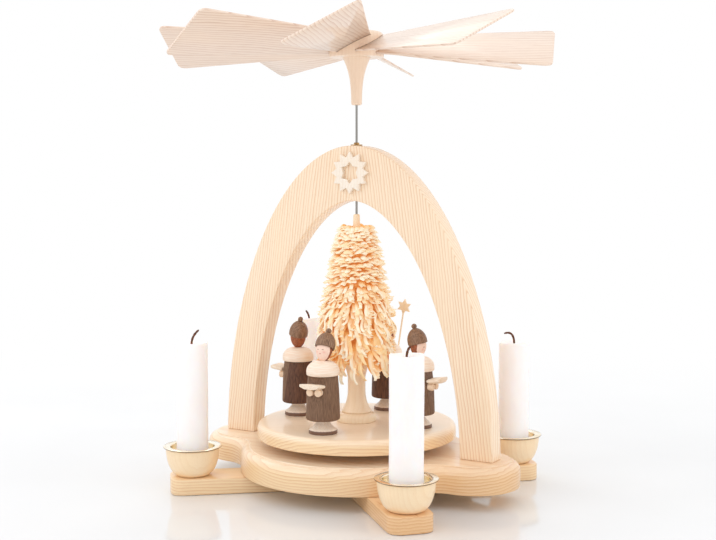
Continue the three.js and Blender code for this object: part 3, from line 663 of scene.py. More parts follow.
def finished(name, mesh, body, material, nodes, place=Matrix(), shift=(0, 0, 0), sharp=SHARP):
    """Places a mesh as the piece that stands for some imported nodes, and keeps its own coordinates in it."""
    offset = Vector(shift)
    grain = mesh.attributes.new("grain", "FLOAT_VECTOR", "POINT")
    grain.data.foreach_set("vector", [c for v in mesh.vertices for c in v.co + offset])
    mesh.transform(Matrix.Scale(MM, 4) @ place)
    mesh.polygons.foreach_set("use_smooth", [True] * len(mesh.polygons))
    mesh.set_sharp_from_angle(angle=math.radians(sharp))
    mesh.name = name
    mesh.materials.clear()
    mesh.materials.append(material)
    piece = in_scene(name, mesh)
    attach(piece, body)
    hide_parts(*nodes)


def dress(material, *nodes):
    """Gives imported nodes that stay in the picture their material."""
    for node in nodes:
        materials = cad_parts[node].data.materials
        materials.clear()
        materials.append(material)


# Foot cross
FOOT_WIDTH = 30
FOOT_CORNER = 10
FOOT_EDGE = 0.7
FOOT_REACH = 131
FOOT_ANGLE_LOWER = 41
FOOT_ANGLE_UPPER = 43.4
FOOT_GRAIN = {"spacing": 2.0, "pith": (5, -150), "wander": 6.0, "contrast": 0.45}
LAP_GAP = 0.3


def foot_bar(name, angle, crossing, lap_levels, shift, material):
    """A bar with rounded ends and a half lap where the other bar crosses it."""
    half = FOOT_WIDTH / 2
    corners = rectangle(-FOOT_REACH, FOOT_REACH, -half, half)
    outline = eased([(x, y, FOOT_CORNER) for x, y in corners], 8)
    bar = softened(board(outline, 0, box(name)[1].z), FOOT_EDGE)
    reach, across = 1.5 * FOOT_WIDTH, half + LAP_GAP
    lap = moved(board(rectangle(-reach, reach, -across, across), *lap_levels), turn(crossing))
    piece_name = name.replace("foot_bar", "cross_bar")
    finished(piece_name, cut(bar, [lap]), "stand", material, [name], turn(angle), shift)


def foot_cross():
    thickness = box("foot_bar_lower")[1].z
    half = thickness / 2
    # The bars are browner below these heights, which reach above their tops: painted shade.
    sawn = (thickness - 0.6, thickness + 6)
    lower_wood = board_wood("foot_ash", **FOOT_GRAIN, sawn=sawn)
    # The upper bar darkens towards one end: painted shade.
    upper_wood = board_wood("foot_ash_upper", **FOOT_GRAIN, sawn=sawn, heart=(350, 460))
    crossing = FOOT_ANGLE_LOWER + FOOT_ANGLE_UPPER
    lower_lap = (half - LAP_GAP / 2, thickness + OVERRUN)
    foot_bar("foot_bar_lower", FOOT_ANGLE_LOWER, -crossing, lower_lap, (0, 0, 0), lower_wood)
    upper_lap = (-OVERRUN, half + LAP_GAP / 2)
    foot_bar("foot_bar_upper", -FOOT_ANGLE_UPPER, crossing, upper_lap, (340, 6, 1), upper_wood)


# Base plate
BASE_DISC = 82
BASE_LOBE = 32
BASE_LOBE_PLACE = 91
BASE_FILLET = 26
BASE_ROUND = 6
BASE_STEP = 1.2
BASE_BORE = 4.8
# The plate darkens towards one end: painted shade.
BASE_GRAIN = {"spacing": 1.9, "pith": (14, -240), "wander": 6.0, "contrast": 0.5, "heart": (70, 240)}


def base_outline(inset):
    """A disc with a lobe at each end, joined by hollow fillets."""
    disc, lobe, fillet = BASE_DISC - inset, BASE_LOBE - inset, BASE_FILLET + inset
    to_fillet = disc + fillet
    along = (to_fillet ** 2 - (lobe + fillet) ** 2 + BASE_LOBE_PLACE ** 2) / (2 * BASE_LOBE_PLACE)
    across = math.sqrt(to_fillet ** 2 - along ** 2)
    disc_angle = math.atan2(across, along)
    lobe_angle = math.atan2(across, along - BASE_LOBE_PLACE)
    points = []
    for half, side in ((0, 1), (math.pi, -1)):
        points += arc(side * BASE_LOBE_PLACE, 0, lobe, half - lobe_angle, half + lobe_angle, 40)
        start, end = half + lobe_angle - math.pi, half + disc_angle - math.pi
        points += arc(side * along, side * across, fillet, start, end, 18)
        points += arc(0, 0, disc, half + disc_angle, half + math.pi - disc_angle, 56)
        points += arc(-side * along, side * across, fillet, half - disc_angle, half - lobe_angle, 18)
    return points


def base_plate():
    """The plate, with a rounded shoulder and a low step above it."""
    low, high = box("base_plate")
    shoulder = high.z - BASE_STEP
    levels = [(1.0, low.z), (0.3, low.z + 0.3), (0, low.z + 1.0)]
    levels += arc(BASE_ROUND, shoulder - BASE_ROUND, BASE_ROUND, math.pi, math.pi / 2, 8)
    levels += [(BASE_ROUND, shoulder), (BASE_ROUND + 0.15, shoulder + 0.1)]
    levels += [(BASE_ROUND + 0.15, high.z - 0.35), (BASE_ROUND + 0.5, high.z)]
    mesh = lofted([[(x, y, level) for x, y in base_outline(inset)] for inset, level in levels])
    mesh = cut(mesh, [rod(BASE_BORE, low.z - OVERRUN, high.z + OVERRUN, 32)])
    # The plate's sides are browner: painted shade.
    material = board_wood("base_ash", **BASE_GRAIN, sawn=(high.z - 7, high.z - 0.5))
    finished("base_board", mesh, "stand", material, ["base_plate"], shift=(70, 0, 0))


# Arch
ARCH_OUTER = (1.98, 1.84)
ARCH_INNER = (1.86, 1.82)
ARCH_BOARD_WIDTH = 24
ARCH_CROWN_WIDTH = 38.2
ARCH_EDGE = 0.8
ARCH_GRAIN_LEAN = 7.5
CROWN_BORE = 2.5
CROWN_BORE_DEPTH = 60
BUSH_TUBE = 2.2
BUSH_BORE = 1.1
BUSH_FLANGE = 0.8
BUSH_COLLAR = 1.9
STAR_POINTS = 12
STAR_NOTCH = 10.8
STAR_HOLE_POINTS = 6
STAR_HOLE_TIP = 7.6
STAR_HOLE_NOTCH = 5.2
STAR_EDGE = 0.25


def oval(half_width, height, fullness, point, steps=56):
    """Half of a pointed oval, from its right foot over the top to its left foot."""
    right = []
    for i in range(steps):
        angle = math.pi / 2 * i / steps
        across = half_width * math.cos(angle) ** (2 / fullness)
        right.append((across, height * math.sin(angle) ** (2 / point)))
    return right + [(0, height)] + [(-x, z) for x, z in reversed(right)]


def arch():
    """The board arch, bored through its crown for the guide tube."""
    low, high = box("arch")
    rise = high.z - low.z
    outer = oval(high.x, rise, *ARCH_OUTER)
    inner = oval(high.x - ARCH_BOARD_WIDTH, rise - ARCH_CROWN_WIDTH, *ARCH_INNER)
    mesh = board(outer + inner[::-1], low.y, high.y)
    mesh = moved(softened(moved(mesh, turn(90, "X")), ARCH_EDGE), move(0, 0, low.z))
    mesh = cut(mesh, [rod(CROWN_BORE, high.z - CROWN_BORE_DEPTH, high.z + OVERRUN, 32)])
    finished("arch_board", mesh, "stand", arch_ash(), ["arch"])


def top_bush(brass):
    """A guide tube whose flange lies on the crown, with a low collar above it."""
    low, high = box("top_bush")
    crown = box("arch")[1].z
    flange, top = high.x, crown + BUSH_FLANGE
    profile = [
        (BUSH_BORE, low.z), (BUSH_TUBE, low.z), (BUSH_TUBE, crown), (flange - 0.2, crown),
        (flange, crown + 0.2), (flange - 0.1, top - 0.1), (flange - 0.4, top), (BUSH_COLLAR + 0.4, top),
        (BUSH_COLLAR, top + 0.3), (BUSH_COLLAR, high.z - 0.2), (BUSH_COLLAR - 0.2, high.z),
        (BUSH_BORE, high.z),
    ]
    finished("crown_bush", turned(profile, 40), "stand", brass, ["top_bush"])


def star_outline(points, tip, notch):
    out = []
    for i in range(2 * points):
        radius = tip if i % 2 == 0 else notch
        angle = math.pi / 2 + math.pi * i / points
        out.append((radius * math.cos(angle), radius * math.sin(angle)))
    return out


def arch_star():
    """A thin pointed ring, glued on the front of the arch."""
    low, high = box("arch_star")
    thickness = high.y - low.y
    star = board(star_outline(STAR_POINTS, (high.z - low.z) / 2, STAR_NOTCH), 0, thickness)
    hole = board(star_outline(STAR_HOLE_POINTS, STAR_HOLE_TIP, STAR_HOLE_NOTCH), -1, thickness + 1)
    mesh = softened(cut(star, [hole]), STAR_EDGE, 2)
    place = move(0, high.y, (low.z + high.z) / 2) @ turn(90, "X")
    pale = turned_wood("star_maple", STAR_MAPLE, 0.5)
    finished("ring_star", mesh, "stand", pale, ["arch_star"], place, (60, 20, 3))


# Candle places
BOWL_FOOT = 8.8
BOWL_SWELL = 0.95
BOWL_INNER_SWELL = 0.8
BOWL_PROUD = 0.6
BOWL_WALL = 1.8
BOWL_FLOOR = 3.4
BOWL_PEG = 4
BOWL_GAP = 0.3
BOWL_STEPS = 18
PAN_THICKNESS = 0.6
PAN_DEPTH = 7.6
PAN_LEAN = 1.6
SOCKET_INNER = 11.35
SOCKET_WALL = 0.8
SOCKET_HEIGHT = 3.6
CANDLE_RADIUS = 11
CANDLE_LEAN = {"back_left": 5}
CANDLE_LEAN_DIRECTION = 211
CANDLE_RIM_ROUND = 1.7
CANDLE_SWELL = 0.06
POOL_DEPTH = 1.6
WICK_RADIUS = 0.82
WICK_SINK = 0.5
WICK_IN_WAX = 1.5
WICK_TWIST = 2.5
WICKS = {
    "front_left": {"direction": 28, "lean": 5.2, "height": 9.2, "knee": 0.5},
    "front_right": {"direction": 20, "lean": 2.4, "height": 6, "knee": 0.55},
    "back_right": {"direction": 211, "lean": 7.4, "height": 6.8, "knee": 1.35},
    "back_left": {"direction": 200, "lean": 2.2, "height": 6, "knee": 0.55},
}


def bowl_profile(wide, top):
    """Outside and inside of a round bowl on a small flat foot; heights count from the bowl's underside."""
    rim = wide + BOWL_PROUD
    outer, inner = [], []
    for i in range(BOWL_STEPS + 1):
        angle = math.pi / 2 * i / BOWL_STEPS
        lift = 1 - math.cos(angle)
        outer.append((BOWL_FOOT + (rim - BOWL_FOOT) * math.sin(angle) ** BOWL_SWELL, top * lift))
        inner_radius = (wide - BOWL_WALL) * math.sin(angle) ** BOWL_INNER_SWELL
        inner.append((inner_radius, BOWL_FLOOR + (top - BOWL_FLOOR) * lift))
    outer[-1:] = [(rim, top - 0.5), (rim - 0.5, top)]
    inner[-1] = (wide - BOWL_WALL + 0.4, top)
    return outer, inner


def candle_bowl(place_name, material, spot, bowl_bottom, shift):
    """A turned bowl with the peg that holds it in the foot bar."""
    low, high = box(f"candle_bowl_{place_name}")
    outer, inner = bowl_profile((high.x - low.x) / 2, high.z - bowl_bottom)
    peg_bottom = low.z - bowl_bottom
    peg = [(0, peg_bottom), (BOWL_PEG, peg_bottom), (BOWL_PEG, 0), (BOWL_FOOT - 0.6, 0)]
    profile = peg + outer + inner[::-1]
    node = [f"candle_bowl_{place_name}"]
    place = move(spot.x, spot.y, bowl_bottom)
    finished(f"bowl_{place_name}", turned(profile, 80), "stand", material, node, place, shift)


def drip_pan(place_name, brass, spot, bowl_radius):
    """Thin sheet that hangs over the bowl's rim, with a low ring for the candle."""
    low, high = box(f"drip_pan_{place_name}")
    rim, top = (high.x - low.x) / 2, high.z
    under = top - PAN_THICKNESS
    floor = under - BOWL_GAP - PAN_DEPTH
    inside = bowl_radius - BOWL_WALL - BOWL_GAP
    socket = SOCKET_INNER + SOCKET_WALL
    lower, upper = floor + PAN_DEPTH * 0.15, floor + PAN_DEPTH * 0.5
    profile = eased([
        (0, low.z), (socket, low.z, 1.0), (inside - PAN_LEAN, lower, 1.2),
        (inside - PAN_LEAN / 4, upper, 1.5),
        (inside, under, 0.5), (rim - 0.2, under), (rim, under + 0.2), (rim, top - 0.2),
        (rim - 0.25, top), (inside - PAN_THICKNESS, top, 1.0),
        (inside - PAN_LEAN / 4 - PAN_THICKNESS, upper, 1.5),
        (inside - PAN_LEAN - PAN_THICKNESS, lower + PAN_THICKNESS, 1.0),
        (socket, floor + 0.1, 0.4), (socket, floor + SOCKET_HEIGHT, 0.2),
        (SOCKET_INNER, floor + SOCKET_HEIGHT, 0.2), (SOCKET_INNER, floor), (0, floor),
    ], 5)
    node = [f"drip_pan_{place_name}"]
    finished(f"pan_{place_name}", turned(profile, 80), "stand", brass, node, move(spot.x, spot.y, 0))


def tipped(lean, pivot):
    """Where a candle stands: tipped about the middle of its socket, and up on the edge it is tipped over."""
    direction = math.radians(CANDLE_LEAN_DIRECTION)
    axis = Vector((-math.sin(direction), math.cos(direction), 0))
    tilt = Matrix.Rotation(math.radians(lean), 4, axis)
    lift = CANDLE_RADIUS * math.sin(math.radians(lean))
    return move(0, 0, pivot + lift) @ tilt @ move(0, 0, -pivot)


def candle_length(place_name, lean, bottom):
    """The candle's own length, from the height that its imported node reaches."""
    low, high = box(f"candle_{place_name}")
    if lean == 0:
        return high.z - bottom
    angle = math.radians(lean)
    return (high.z - low.z - 2 * CANDLE_RADIUS * math.sin(angle)) / math.cos(angle) + 0.1


def candle(place_name, wax, spot, bottom, length, stand):
    """A column with a softened rim, a shallow molten pool and a slightly uneven side."""
    top = bottom + length
    radius = CANDLE_RADIUS
    pool = top - POOL_DEPTH
    profile = eased([
        (0, bottom), (radius - 0.1, bottom, 0.5), (radius, top - 1.6), (radius, top, CANDLE_RIM_ROUND),
        (radius - 3.4, pool + 0.9, 1.5), (3, pool + 0.1, 1.5), (1.2, pool), (0, pool + 0.3),
    ])
    dense = []
    for (r0, z0), (r1, z1) in zip(profile, profile[1:]):
        steps = max(1, int(abs(z1 - z0) / 4))
        dense += [(r0 + (r1 - r0) * i / steps, z0 + (z1 - z0) * i / steps) for i in range(steps)]
    mesh = turned(dense + profile[-1:], 72)
    chance = random.Random(place_name)
    phases = [chance.uniform(0, 2 * math.pi) for _ in range(3)]
    for vertex in mesh.vertices:
        x, y, z = vertex.co
        out = math.hypot(x, y)
        if out < 5:
            continue
        angle = math.atan2(y, x)
        near_top = max(0.0, (z - top + 5) / 5)
        dip = 0.3 * math.sin(2 * angle + phases[0]) + 0.15 * math.sin(5 * angle + phases[1])
        vertex.co.z = min(z + dip * near_top, top)
        swell = CANDLE_SWELL * (math.sin(3 * angle + 0.2 * z + phases[2]) - 1)
        vertex.co.x += x / out * swell
        vertex.co.y += y / out * swell
    place = move(spot.x, spot.y, 0) @ stand
    body, node = f"{place_name}_candle", [f"candle_{place_name}"]
    finished(f"wax_{place_name}", mesh, body, wax, node, place, (spot.x, spot.y, 0))


def wick(place_name, char, spot, foot, stand, direction, lean, height, knee):
    """A charred wick that bends over and thickens at its burnt tip."""
    direction = math.radians(direction)
    start = Vector((0, 0, foot - WICK_IN_WAX))
    bend = Vector((0, 0, foot + height * knee))
    tip = Vector((lean * math.cos(direction), lean * math.sin(direction), foot + height - 0.4))
    sidewise = Vector((-math.sin(direction), math.cos(direction), 0))
    steps, sides = 18, 14
    rings = []
    for i in range(steps + 1):
        share = i / steps
        centre = start.lerp(bend, share).lerp(bend.lerp(tip, share), share)
        tangent = ((bend - start).lerp(tip - bend, share)).normalized()
        normal = sidewise.cross(tangent).normalized()
        swell = 1 + 0.16 * math.sin(share * 21) * share
        radius = WICK_RADIUS * swell * min(1.0, (1 - share) * 7 + 0.35) * 0.92
        ring = []
        for k in range(sides):
            angle = 2 * math.pi * k / sides + share * WICK_TWIST
            lobe = radius * (1 + 0.1 * math.cos(3 * angle))
            ring.append(centre + sidewise * (lobe * math.cos(angle)) + normal * (lobe * math.sin(angle)))
        rings.append(ring)
    place = move(spot.x, spot.y, 0) @ stand
    body, node = f"{place_name}_candle", [f"wick_{place_name}"]
    finished(f"wick_{place_name}_char", lofted(rings), body, char, node, place, sharp=70)


def candle_places(brass):
    bowl_wood = turned_wood("bowl_maple", BOWL_MAPLE)
    wax, char = candle_wax(), wick_char()
    thickness = box("foot_bar_lower")[1].z
    for i, place_name in enumerate(PLACES):
        spot = middle(f"drip_pan_{place_name}")
        low, high = box(f"candle_bowl_{place_name}")
        candle_bowl(place_name, bowl_wood, spot, thickness, (37 * i, 11 * i, 5 * i))
        drip_pan(place_name, brass, spot, (high.x - low.x) / 2)
        floor = high.z - PAN_DEPTH
        bottom = floor + BOWL_GAP
        lean = CANDLE_LEAN.get(place_name, 0)
        stand = tipped(lean, floor + SOCKET_HEIGHT / 2)
        length = candle_length(place_name, lean, bottom)
        candle(place_name, wax, spot, bottom, length, stand)
        wick(place_name, char, spot, bottom + length - WICK_SINK, stand, **WICKS[place_name])


# Turntable
TABLE_GRAIN = {"spacing": 2.0, "pith": (-22, -260), "wander": 7.0, "contrast": 0.42}
TABLE_ROUND = 5.2
TABLE_GRAIN_TURN = 28
SPINDLE_BORE = 1.5
SPINDLE_RADIUS = 0.8
SPINDLE_POINT = 2.4


def turntable():
    low, high = box("turntable")
    radius, thickness = high.x, high.z - low.z
    profile = eased([(0, 0), (radius, 0, 1.0), (radius, thickness, TABLE_ROUND), (0, thickness)], 10)
    mesh = cut(turned(profile, 144), [rod(SPINDLE_BORE, -OVERRUN, 4 * OVERRUN, 20)])
    # The table's side is browner: painted shade.
    material = board_wood("turntable_ash", **TABLE_GRAIN, sawn=(thickness - 5, thickness - 0.3))
    place = move(0, 0, low.z) @ turn(TABLE_GRAIN_TURN + CAROUSEL_TURN)
    finished("turning_table", mesh, "carousel", material, ["turntable"], place, (15, 160, 0))


def spindle(steel):
    low, high = box("spindle")
    radius = SPINDLE_RADIUS
    point, top = low.z + SPINDLE_POINT, high.z
    profile = [(0, low.z), (radius, point), (radius, top - 0.3), (radius - 0.3, top), (0, top)]
    finished("spindle_rod", turned(profile, 32), "carousel", steel, ["spindle"])


# Shaving tree. Heights count from its foot
TREE_RIM = 14.2
TREE_RIM_HEIGHT = 6
TRUNK_RADIUS = 6.2
TREE_TIP = 2.7
TREE_PROUD = 0.6
FLARE_HEIGHT = 17
CURLS_START = 27
CURLS_END = 138
LOWEST_ROOT = CURLS_START + 24
HIGHEST_ROOT = CURLS_END - 1
MANTLE_BOTTOM = 27.6
MANTLE_TOP = 13.4
MANTLE_SWELL = 1.2
CORE_SHARE = 0.55
CURL_TIERS = 9
LOCKS = 15
HANG_SHARE = 0.6
GOLDEN_TURN = 0.3819660
CURL_INPUTS = {
    "Curls": 900, "Steps": 12, "Across": 3, "From Share": 0.0, "To Share": 1.0, "Lowest Root": 0.0,
    "Highest Root": 0.0, "Width Low": 2.5, "Width High": 5.8, "Thickness": 0.4, "Seed": 7, "Finish": None,
}
INPUT_KINDS = {int: "NodeSocketInt", float: "NodeSocketFloat", type(None): "NodeSocketMaterial"}
CURL_GROUPS = {
    "low": {"Curls": 900, "Steps": 14, "Across": 3, "From Share": 0.0, "To Share": 0.52, "Seed": 7},
    "high": {"Curls": 560, "Steps": 8, "Across": 5, "From Share": 0.52, "To Share": 1.0, "Seed": 31},
}
CURL_LUCK = {"luck_a": 11, "luck_b": 23, "luck_c": 37, "luck_d": 51}
LOCK_LUCK = {"lock_a": 67, "lock_b": 83}


def mantle_taper(share):
    """The mantle's radius without its swell, for a number or a socket from 0 below to 1 at the top."""
    return MANTLE_TOP + (MANTLE_BOTTOM - MANTLE_TOP) * (1 - share ** 2.4) ** 0.9


def mantle_number(height):
    """Radius of the shavings' outside at a height."""
    share = min(1, max(0, (height - CURLS_START) / (CURLS_END - CURLS_START)))
    return mantle_taper(share) + MANTLE_SWELL * math.sin(math.pi * min(1, share * 1.4))


def mantle_socket(height):
    """The same radius for a height that is a node's socket."""
    share = ((height - CURLS_START) / (CURLS_END - CURLS_START)).within(0.0, 1.0)
    return mantle_taper(share) + MANTLE_SWELL * ((share * 1.4).math("MINIMUM", 1.0) * math.pi).math("SINE")


def trunk(top):
    """The turned middle of the tree, from its flared foot up to its tip."""
    wide, rim = TREE_RIM, TREE_RIM_HEIGHT
    profile = eased([(0, 0), (wide, 0, 0.8), (wide, rim * 0.75, 2.2), (wide - 3.4, rim + 0.6, 1.0)], 5)
    flare = wide - 3.6 - TRUNK_RADIUS
    for i in range(13):
        share = i / 12
        profile.append((TRUNK_RADIUS + flare * (1 - share) ** 2.6, rim + 1 + share * FLARE_HEIGHT))
    profile += [
        (TRUNK_RADIUS, CURLS_START + 4), (TRUNK_RADIUS + 2.2, CURLS_START + 14),
        (TRUNK_RADIUS + 2.6, CURLS_START + 60), (TRUNK_RADIUS - 1, CURLS_END - 20), (TREE_TIP, CURLS_END - 4),
    ]
    profile += eased([(TREE_TIP, CURLS_END), (TREE_TIP - 0.5, top, 1.6), (0, top)], 5)[1:]
    return turned(profile, 64)


def tree_core(foot):
    """The dense middle that the shavings spring from, seen only between them; it takes the shavings' painted
    deep-orange shade and glow.
    """
    steps = 24
    profile = [(0, foot + CURLS_START + 14)]
    for i in range(steps + 1):
        height = CURLS_START + 15 + (CURLS_END - CURLS_START - 17) * i / steps
        profile.append((mantle_number(height) * CORE_SHARE, foot + height))
    profile.append((0, foot + CURLS_END - 1))
    return turned(profile, 48)


def hang_of(t):
    """1 for the lowest shavings, which hang, to 0 for the upper ones, which stand out level."""
    return ((HANG_SHARE - t) / HANG_SHARE).math("MAXIMUM", 0.0)


def curl_path(s, t, reach, luck_a, luck_b, phase):
    """Radius and height of a shaving at its share s.

    High ones arch over, low ones hang in waves and hook out.
    """
    hang = hang_of(t)
    hook = hang ** 0.5 * (1.2 + luck_b * 2.8)
    root = reach * CORE_SHARE * 0.8
    end = reach * (0.84 + luck_a * 0.18) - hook * 0.8
    last = ((s - 0.7) / 0.3).math("MAXIMUM", 0.0)
    out = 1 - (1 - s).math("MAXIMUM", 0.0) ** (1.1 + hang * 2.2)
    wave = ((s * 1.7 + phase) * (2 * math.pi)).math("SINE") * s * hang ** 0.5 * 1.7
    radius = root + (end - root) * out + wave + hook * last * 1.2
    fall = hang ** 0.8 * (20 + luck_a * 7)
    arch_over = 0.4 + luck_b * 1.5 + hang ** 0.5 * 2.4
    crest = (s * 2.8).math("SINE") * (1.2 + luck_b * 1.2 + hang * 1.2)
    return radius, crest - s ** 1.6 * fall - s ** 2.4 * arch_over + hook * last ** 2 * 3.2


def remembered(wiring, geometry, values, kind="FLOAT"):
    """The geometry with named values kept at its points."""
    for name, value in values.items():
        inputs = {"Geometry": geometry, "Name": name, "Value": value}
        settings = {"data_type": kind, "domain": "POINT"}
        geometry = wiring.node("GeometryNodeStoreNamedAttribute", settings, inputs)
    return geometry


def curl_points(wiring, given):
    """A point for every shaving, which knows its level, its turn round the trunk and its luck."""
    index = wiring.node("GeometryNodeInputIndex")
    start, count = given["From Share"], given["Curls"]
    share = start + (given["To Share"] - start) * ((index + 0.5) / count) ** 1.15
    tier = (share * CURL_TIERS).math("FLOOR")
    level = share + ((tier + 0.5) / CURL_TIERS - share) * ((1 - share) * 0.4)
    place_round = (index * GOLDEN_TURN).math("FRACT") * LOCKS
    lock = place_round.math("FLOOR")
    aside = place_round.math("FRACT") - 0.5
    angle = (lock + 0.5 + aside * (0.5 + share * 0.5) + tier * 0.37) * (2 * math.pi / LOCKS)
    whose = lock + tier * LOCKS

    def luck(salt, owner=index):
        inputs = {2: 0.0, 3: 1.0, "ID": owner, "Seed": given["Seed"] + salt}
        return wiring.node("FunctionNodeRandomValue", {"data_type": "FLOAT"}, inputs, 1)

    values = {"tree_share": level, "turn": angle}
    values.update({name: luck(salt) for name, salt in CURL_LUCK.items()})
    values.update({name: luck(salt, whose) for name, salt in LOCK_LUCK.items()})
    return remembered(wiring, wiring.node("GeometryNodeMeshLine", None, {"Count": count}), values)


def curl_strips(wiring, given):
    """A straight strip on every point."""
    sizes = {"Size": (1, 1, 1), "Vertices X": given["Steps"], "Vertices Y": given["Across"], "Vertices Z": 2}
    x, y, z = wiring.parts(wiring.node("GeometryNodeInputPosition"))
    strip = wiring.node("GeometryNodeMeshCube", None, sizes)
    strip = remembered(wiring, strip, {"along": x + 0.5, "across": y, "skin": z})
    inputs = {"Points": curl_points(wiring, given), "Instance": strip}
    placed = wiring.node("GeometryNodeInstanceOnPoints", None, inputs)
    return wiring.node("GeometryNodeRealizeInstances", None, {"Geometry": placed})


def bent_curls(wiring, given, foot):
    """The strips, each bent along its curl, twisted, swaying, and turned to its place round the trunk."""
    def read(name):
        return wiring.node("GeometryNodeInputNamedAttribute", {"data_type": "FLOAT"}, {"Name": name})

    w, skin, t, phi = (read(name) for name in ("across", "skin", "tree_share", "turn"))
    a, b, c, d = (read(name) for name in CURL_LUCK)
    lock_a, lock_b = (read(name) for name in LOCK_LUCK)
    high_share = t.ramp(0.42, 0.7)
    s = read("along") * (1 - w * w * high_share * 0.9)
    phase = lock_a + c * 0.3
    hang = hang_of(t)
    lowest = given["Lowest Root"]
    root_z = lowest + (given["Highest Root"] - lowest) * t + (c - 0.5) * 3.0
    reach = mantle_socket(root_z - hang ** 0.8 * 22 * s - foot)
    r0, z0 = curl_path(s, t, reach, a, b, phase)
    r1, z1 = curl_path(s + 0.01, t, reach, a, b, phase)
    dr, dz = r1 - r0, z1 - z0
    size = far(dr, dz) + 1e-6
    width = given["Width Low"] + (given["Width High"] - given["Width Low"]) * high_share
    width = width * (0.7 + d * 0.6) * (1 - s * s * 0.15)
    twist = (d - 0.5) * s * hang * 1.6 + (c - 0.5) * 0.6
    cos_twist, sin_twist = twist.math("COSINE"), twist.math("SINE")
    flat = w * width
    thick = skin * given["Thickness"] - w * w * width * (0.35 + high_share * 0.75)
    lifted = flat * sin_twist + thick * cos_twist
    wavy = ((s * 1.3 + lock_b + c * 0.25) * (2 * math.pi)).math("SINE") * s * (0.3 + hang * 1.9)
    sway = wavy + (d - 0.5) * s * (1.6 + hang * 1.6) + (lock_b - 0.5) * s * hang * 5.0
    r = r0 + dz / size * -1 * lifted
    z = root_z + z0 + dr / size * lifted
    side = flat * cos_twist - thick * sin_twist + sway
    cos_turn, sin_turn = phi.math("COSINE"), phi.math("SINE")
    place = wiring.joined(r * cos_turn - side * sin_turn, r * sin_turn + side * cos_turn, z)
    inputs = {"Geometry": curl_strips(wiring, given), "Position": place}
    bent = wiring.node("GeometryNodeSetPosition", None, inputs)
    return remembered(wiring, bent, {"curl": wiring.joined(s, w, d)}, "FLOAT_VECTOR")


def curl_tree(foot):
    """Shavings all round a trunk: strips in tiers and locks, each bent along its own curl."""
    tree = bpy.data.node_groups.new("shavings", "GeometryNodeTree")
    for name, value in CURL_INPUTS.items():
        socket = tree.interface.new_socket(name=name, in_out="INPUT", socket_type=INPUT_KINDS[type(value)])
        if value is not None:
            socket.default_value = value
    tree.interface.new_socket(name="Geometry", in_out="OUTPUT", socket_type="NodeSocketGeometry")
    wiring = Wiring(tree)
    group = wiring.node("NodeGroupInput").out.node
    given = {out.name: Socket(wiring, out) for out in group.outputs if out.name}
    rounded = wiring.node("GeometryNodeSetShadeSmooth", None, {"Geometry": bent_curls(wiring, given, foot)})
    inputs = {"Geometry": rounded, "Material": given["Finish"]}
    wiring.node("NodeGroupOutput", None, {0: wiring.node("GeometryNodeSetMaterial", None, inputs)})
    return tree


def shavings(tree, foot, material, values):
    """Some of the tree's shavings, as a plain mesh."""
    thing = in_scene("work", bpy.data.meshes.new("shavings"))
    step = thing.modifiers.new("shavings", "NODES")
    step.node_group = tree
    roots = {"Lowest Root": foot + LOWEST_ROOT, "Highest Root": foot + HIGHEST_ROOT}
    values = {**values, **roots, "Finish": material}
    for item in tree.interface.items_tree:
        if item.in_out == "INPUT" and item.name in values:
            step[item.identifier] = values[item.name]
    return evaluated(thing)


def shaving_tree(maple):
    """Two groups of shavings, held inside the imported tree's width, with their core and the trunk."""
    low, high = box("shaving_tree")
    foot = low.z
    material = shaving_wood(foot)
    tree = curl_tree(foot)
    limit = high.x + TREE_PROUD
    for name, values in CURL_GROUPS.items():
        curls = shavings(tree, foot, material, values)
        for vertex in curls.vertices:
            out = math.hypot(vertex.co.x, vertex.co.y)
            if out > limit:
                vertex.co.x *= limit / out
                vertex.co.y *= limit / out
        finished(f"tree_curls_{name}", curls, "carousel", material, ["shaving_tree"], sharp=70)
    finished("tree_core", tree_core(foot), "carousel", material, ["shaving_tree"])
    middle_part = moved(trunk(high.z - foot), move(0, 0, foot))
    finished("tree_trunk", middle_part, "carousel", maple, ["shaving_tree"], shift=(90, 40, 0))


# Rotor
PADDLE_COUNT = 8
PADDLE_OFFSET = 18.7
PADDLE_PITCH = 26.3
LOW_PADDLE_PITCH = 29.8
LOW_PADDLE_DROOP = 1.9
PADDLE_ROOT = 10.5
PADDLE_ROOT_HALF = 12.4
PADDLE_TIP = 135
PADDLE_TIP_HALF = 27.8
PADDLE_THICKNESS = 1.4
PADDLE_CORNER = 6
PADDLE_EDGE = 0.35
PADDLE_DROP = 0.6
HUB_DISC = 19
HUB_DISC_HEIGHT = 19
HUB_DOME = 4
HUB_NECK = 3.7
HUB_TAPER = 0.6
HUB_FLARE = 5.5
HUB_BORE_DEPTH = 12
SLOT_GAP = 0.15
VENEER_GRAIN = {"spacing": 2.6, "pith": (-60, 34), "wander": 12.0, "contrast": 0.85}


def paddle_board(grow):
    """A tapered board with two rounded corners, grown on every side to cut its slot."""
    tip, root = PADDLE_TIP, PADDLE_ROOT - grow
    tip_half, root_half = PADDLE_TIP_HALF + grow, PADDLE_ROOT_HALF + grow
    round_by = PADDLE_CORNER
    corners = [(root, -root_half), (tip, -tip_half, round_by), (tip, tip_half, round_by), (root, root_half)]
    half = PADDLE_THICKNESS / 2 + grow
    return board(eased(corners, 8), -half, half)


def paddle_place(index):
    angle = CAROUSEL_TURN + PADDLE_OFFSET + 360 * index / PADDLE_COUNT
    pitch, droop = (LOW_PADDLE_PITCH, LOW_PADDLE_DROOP) if index == 0 else (PADDLE_PITCH, 0)
    level = box("rotor_hub")[1].z - HUB_DISC_HEIGHT / 2 - PADDLE_DROP
    return turn(angle) @ move(0, 0, level) @ turn(droop, "Y") @ turn(pitch, "X")


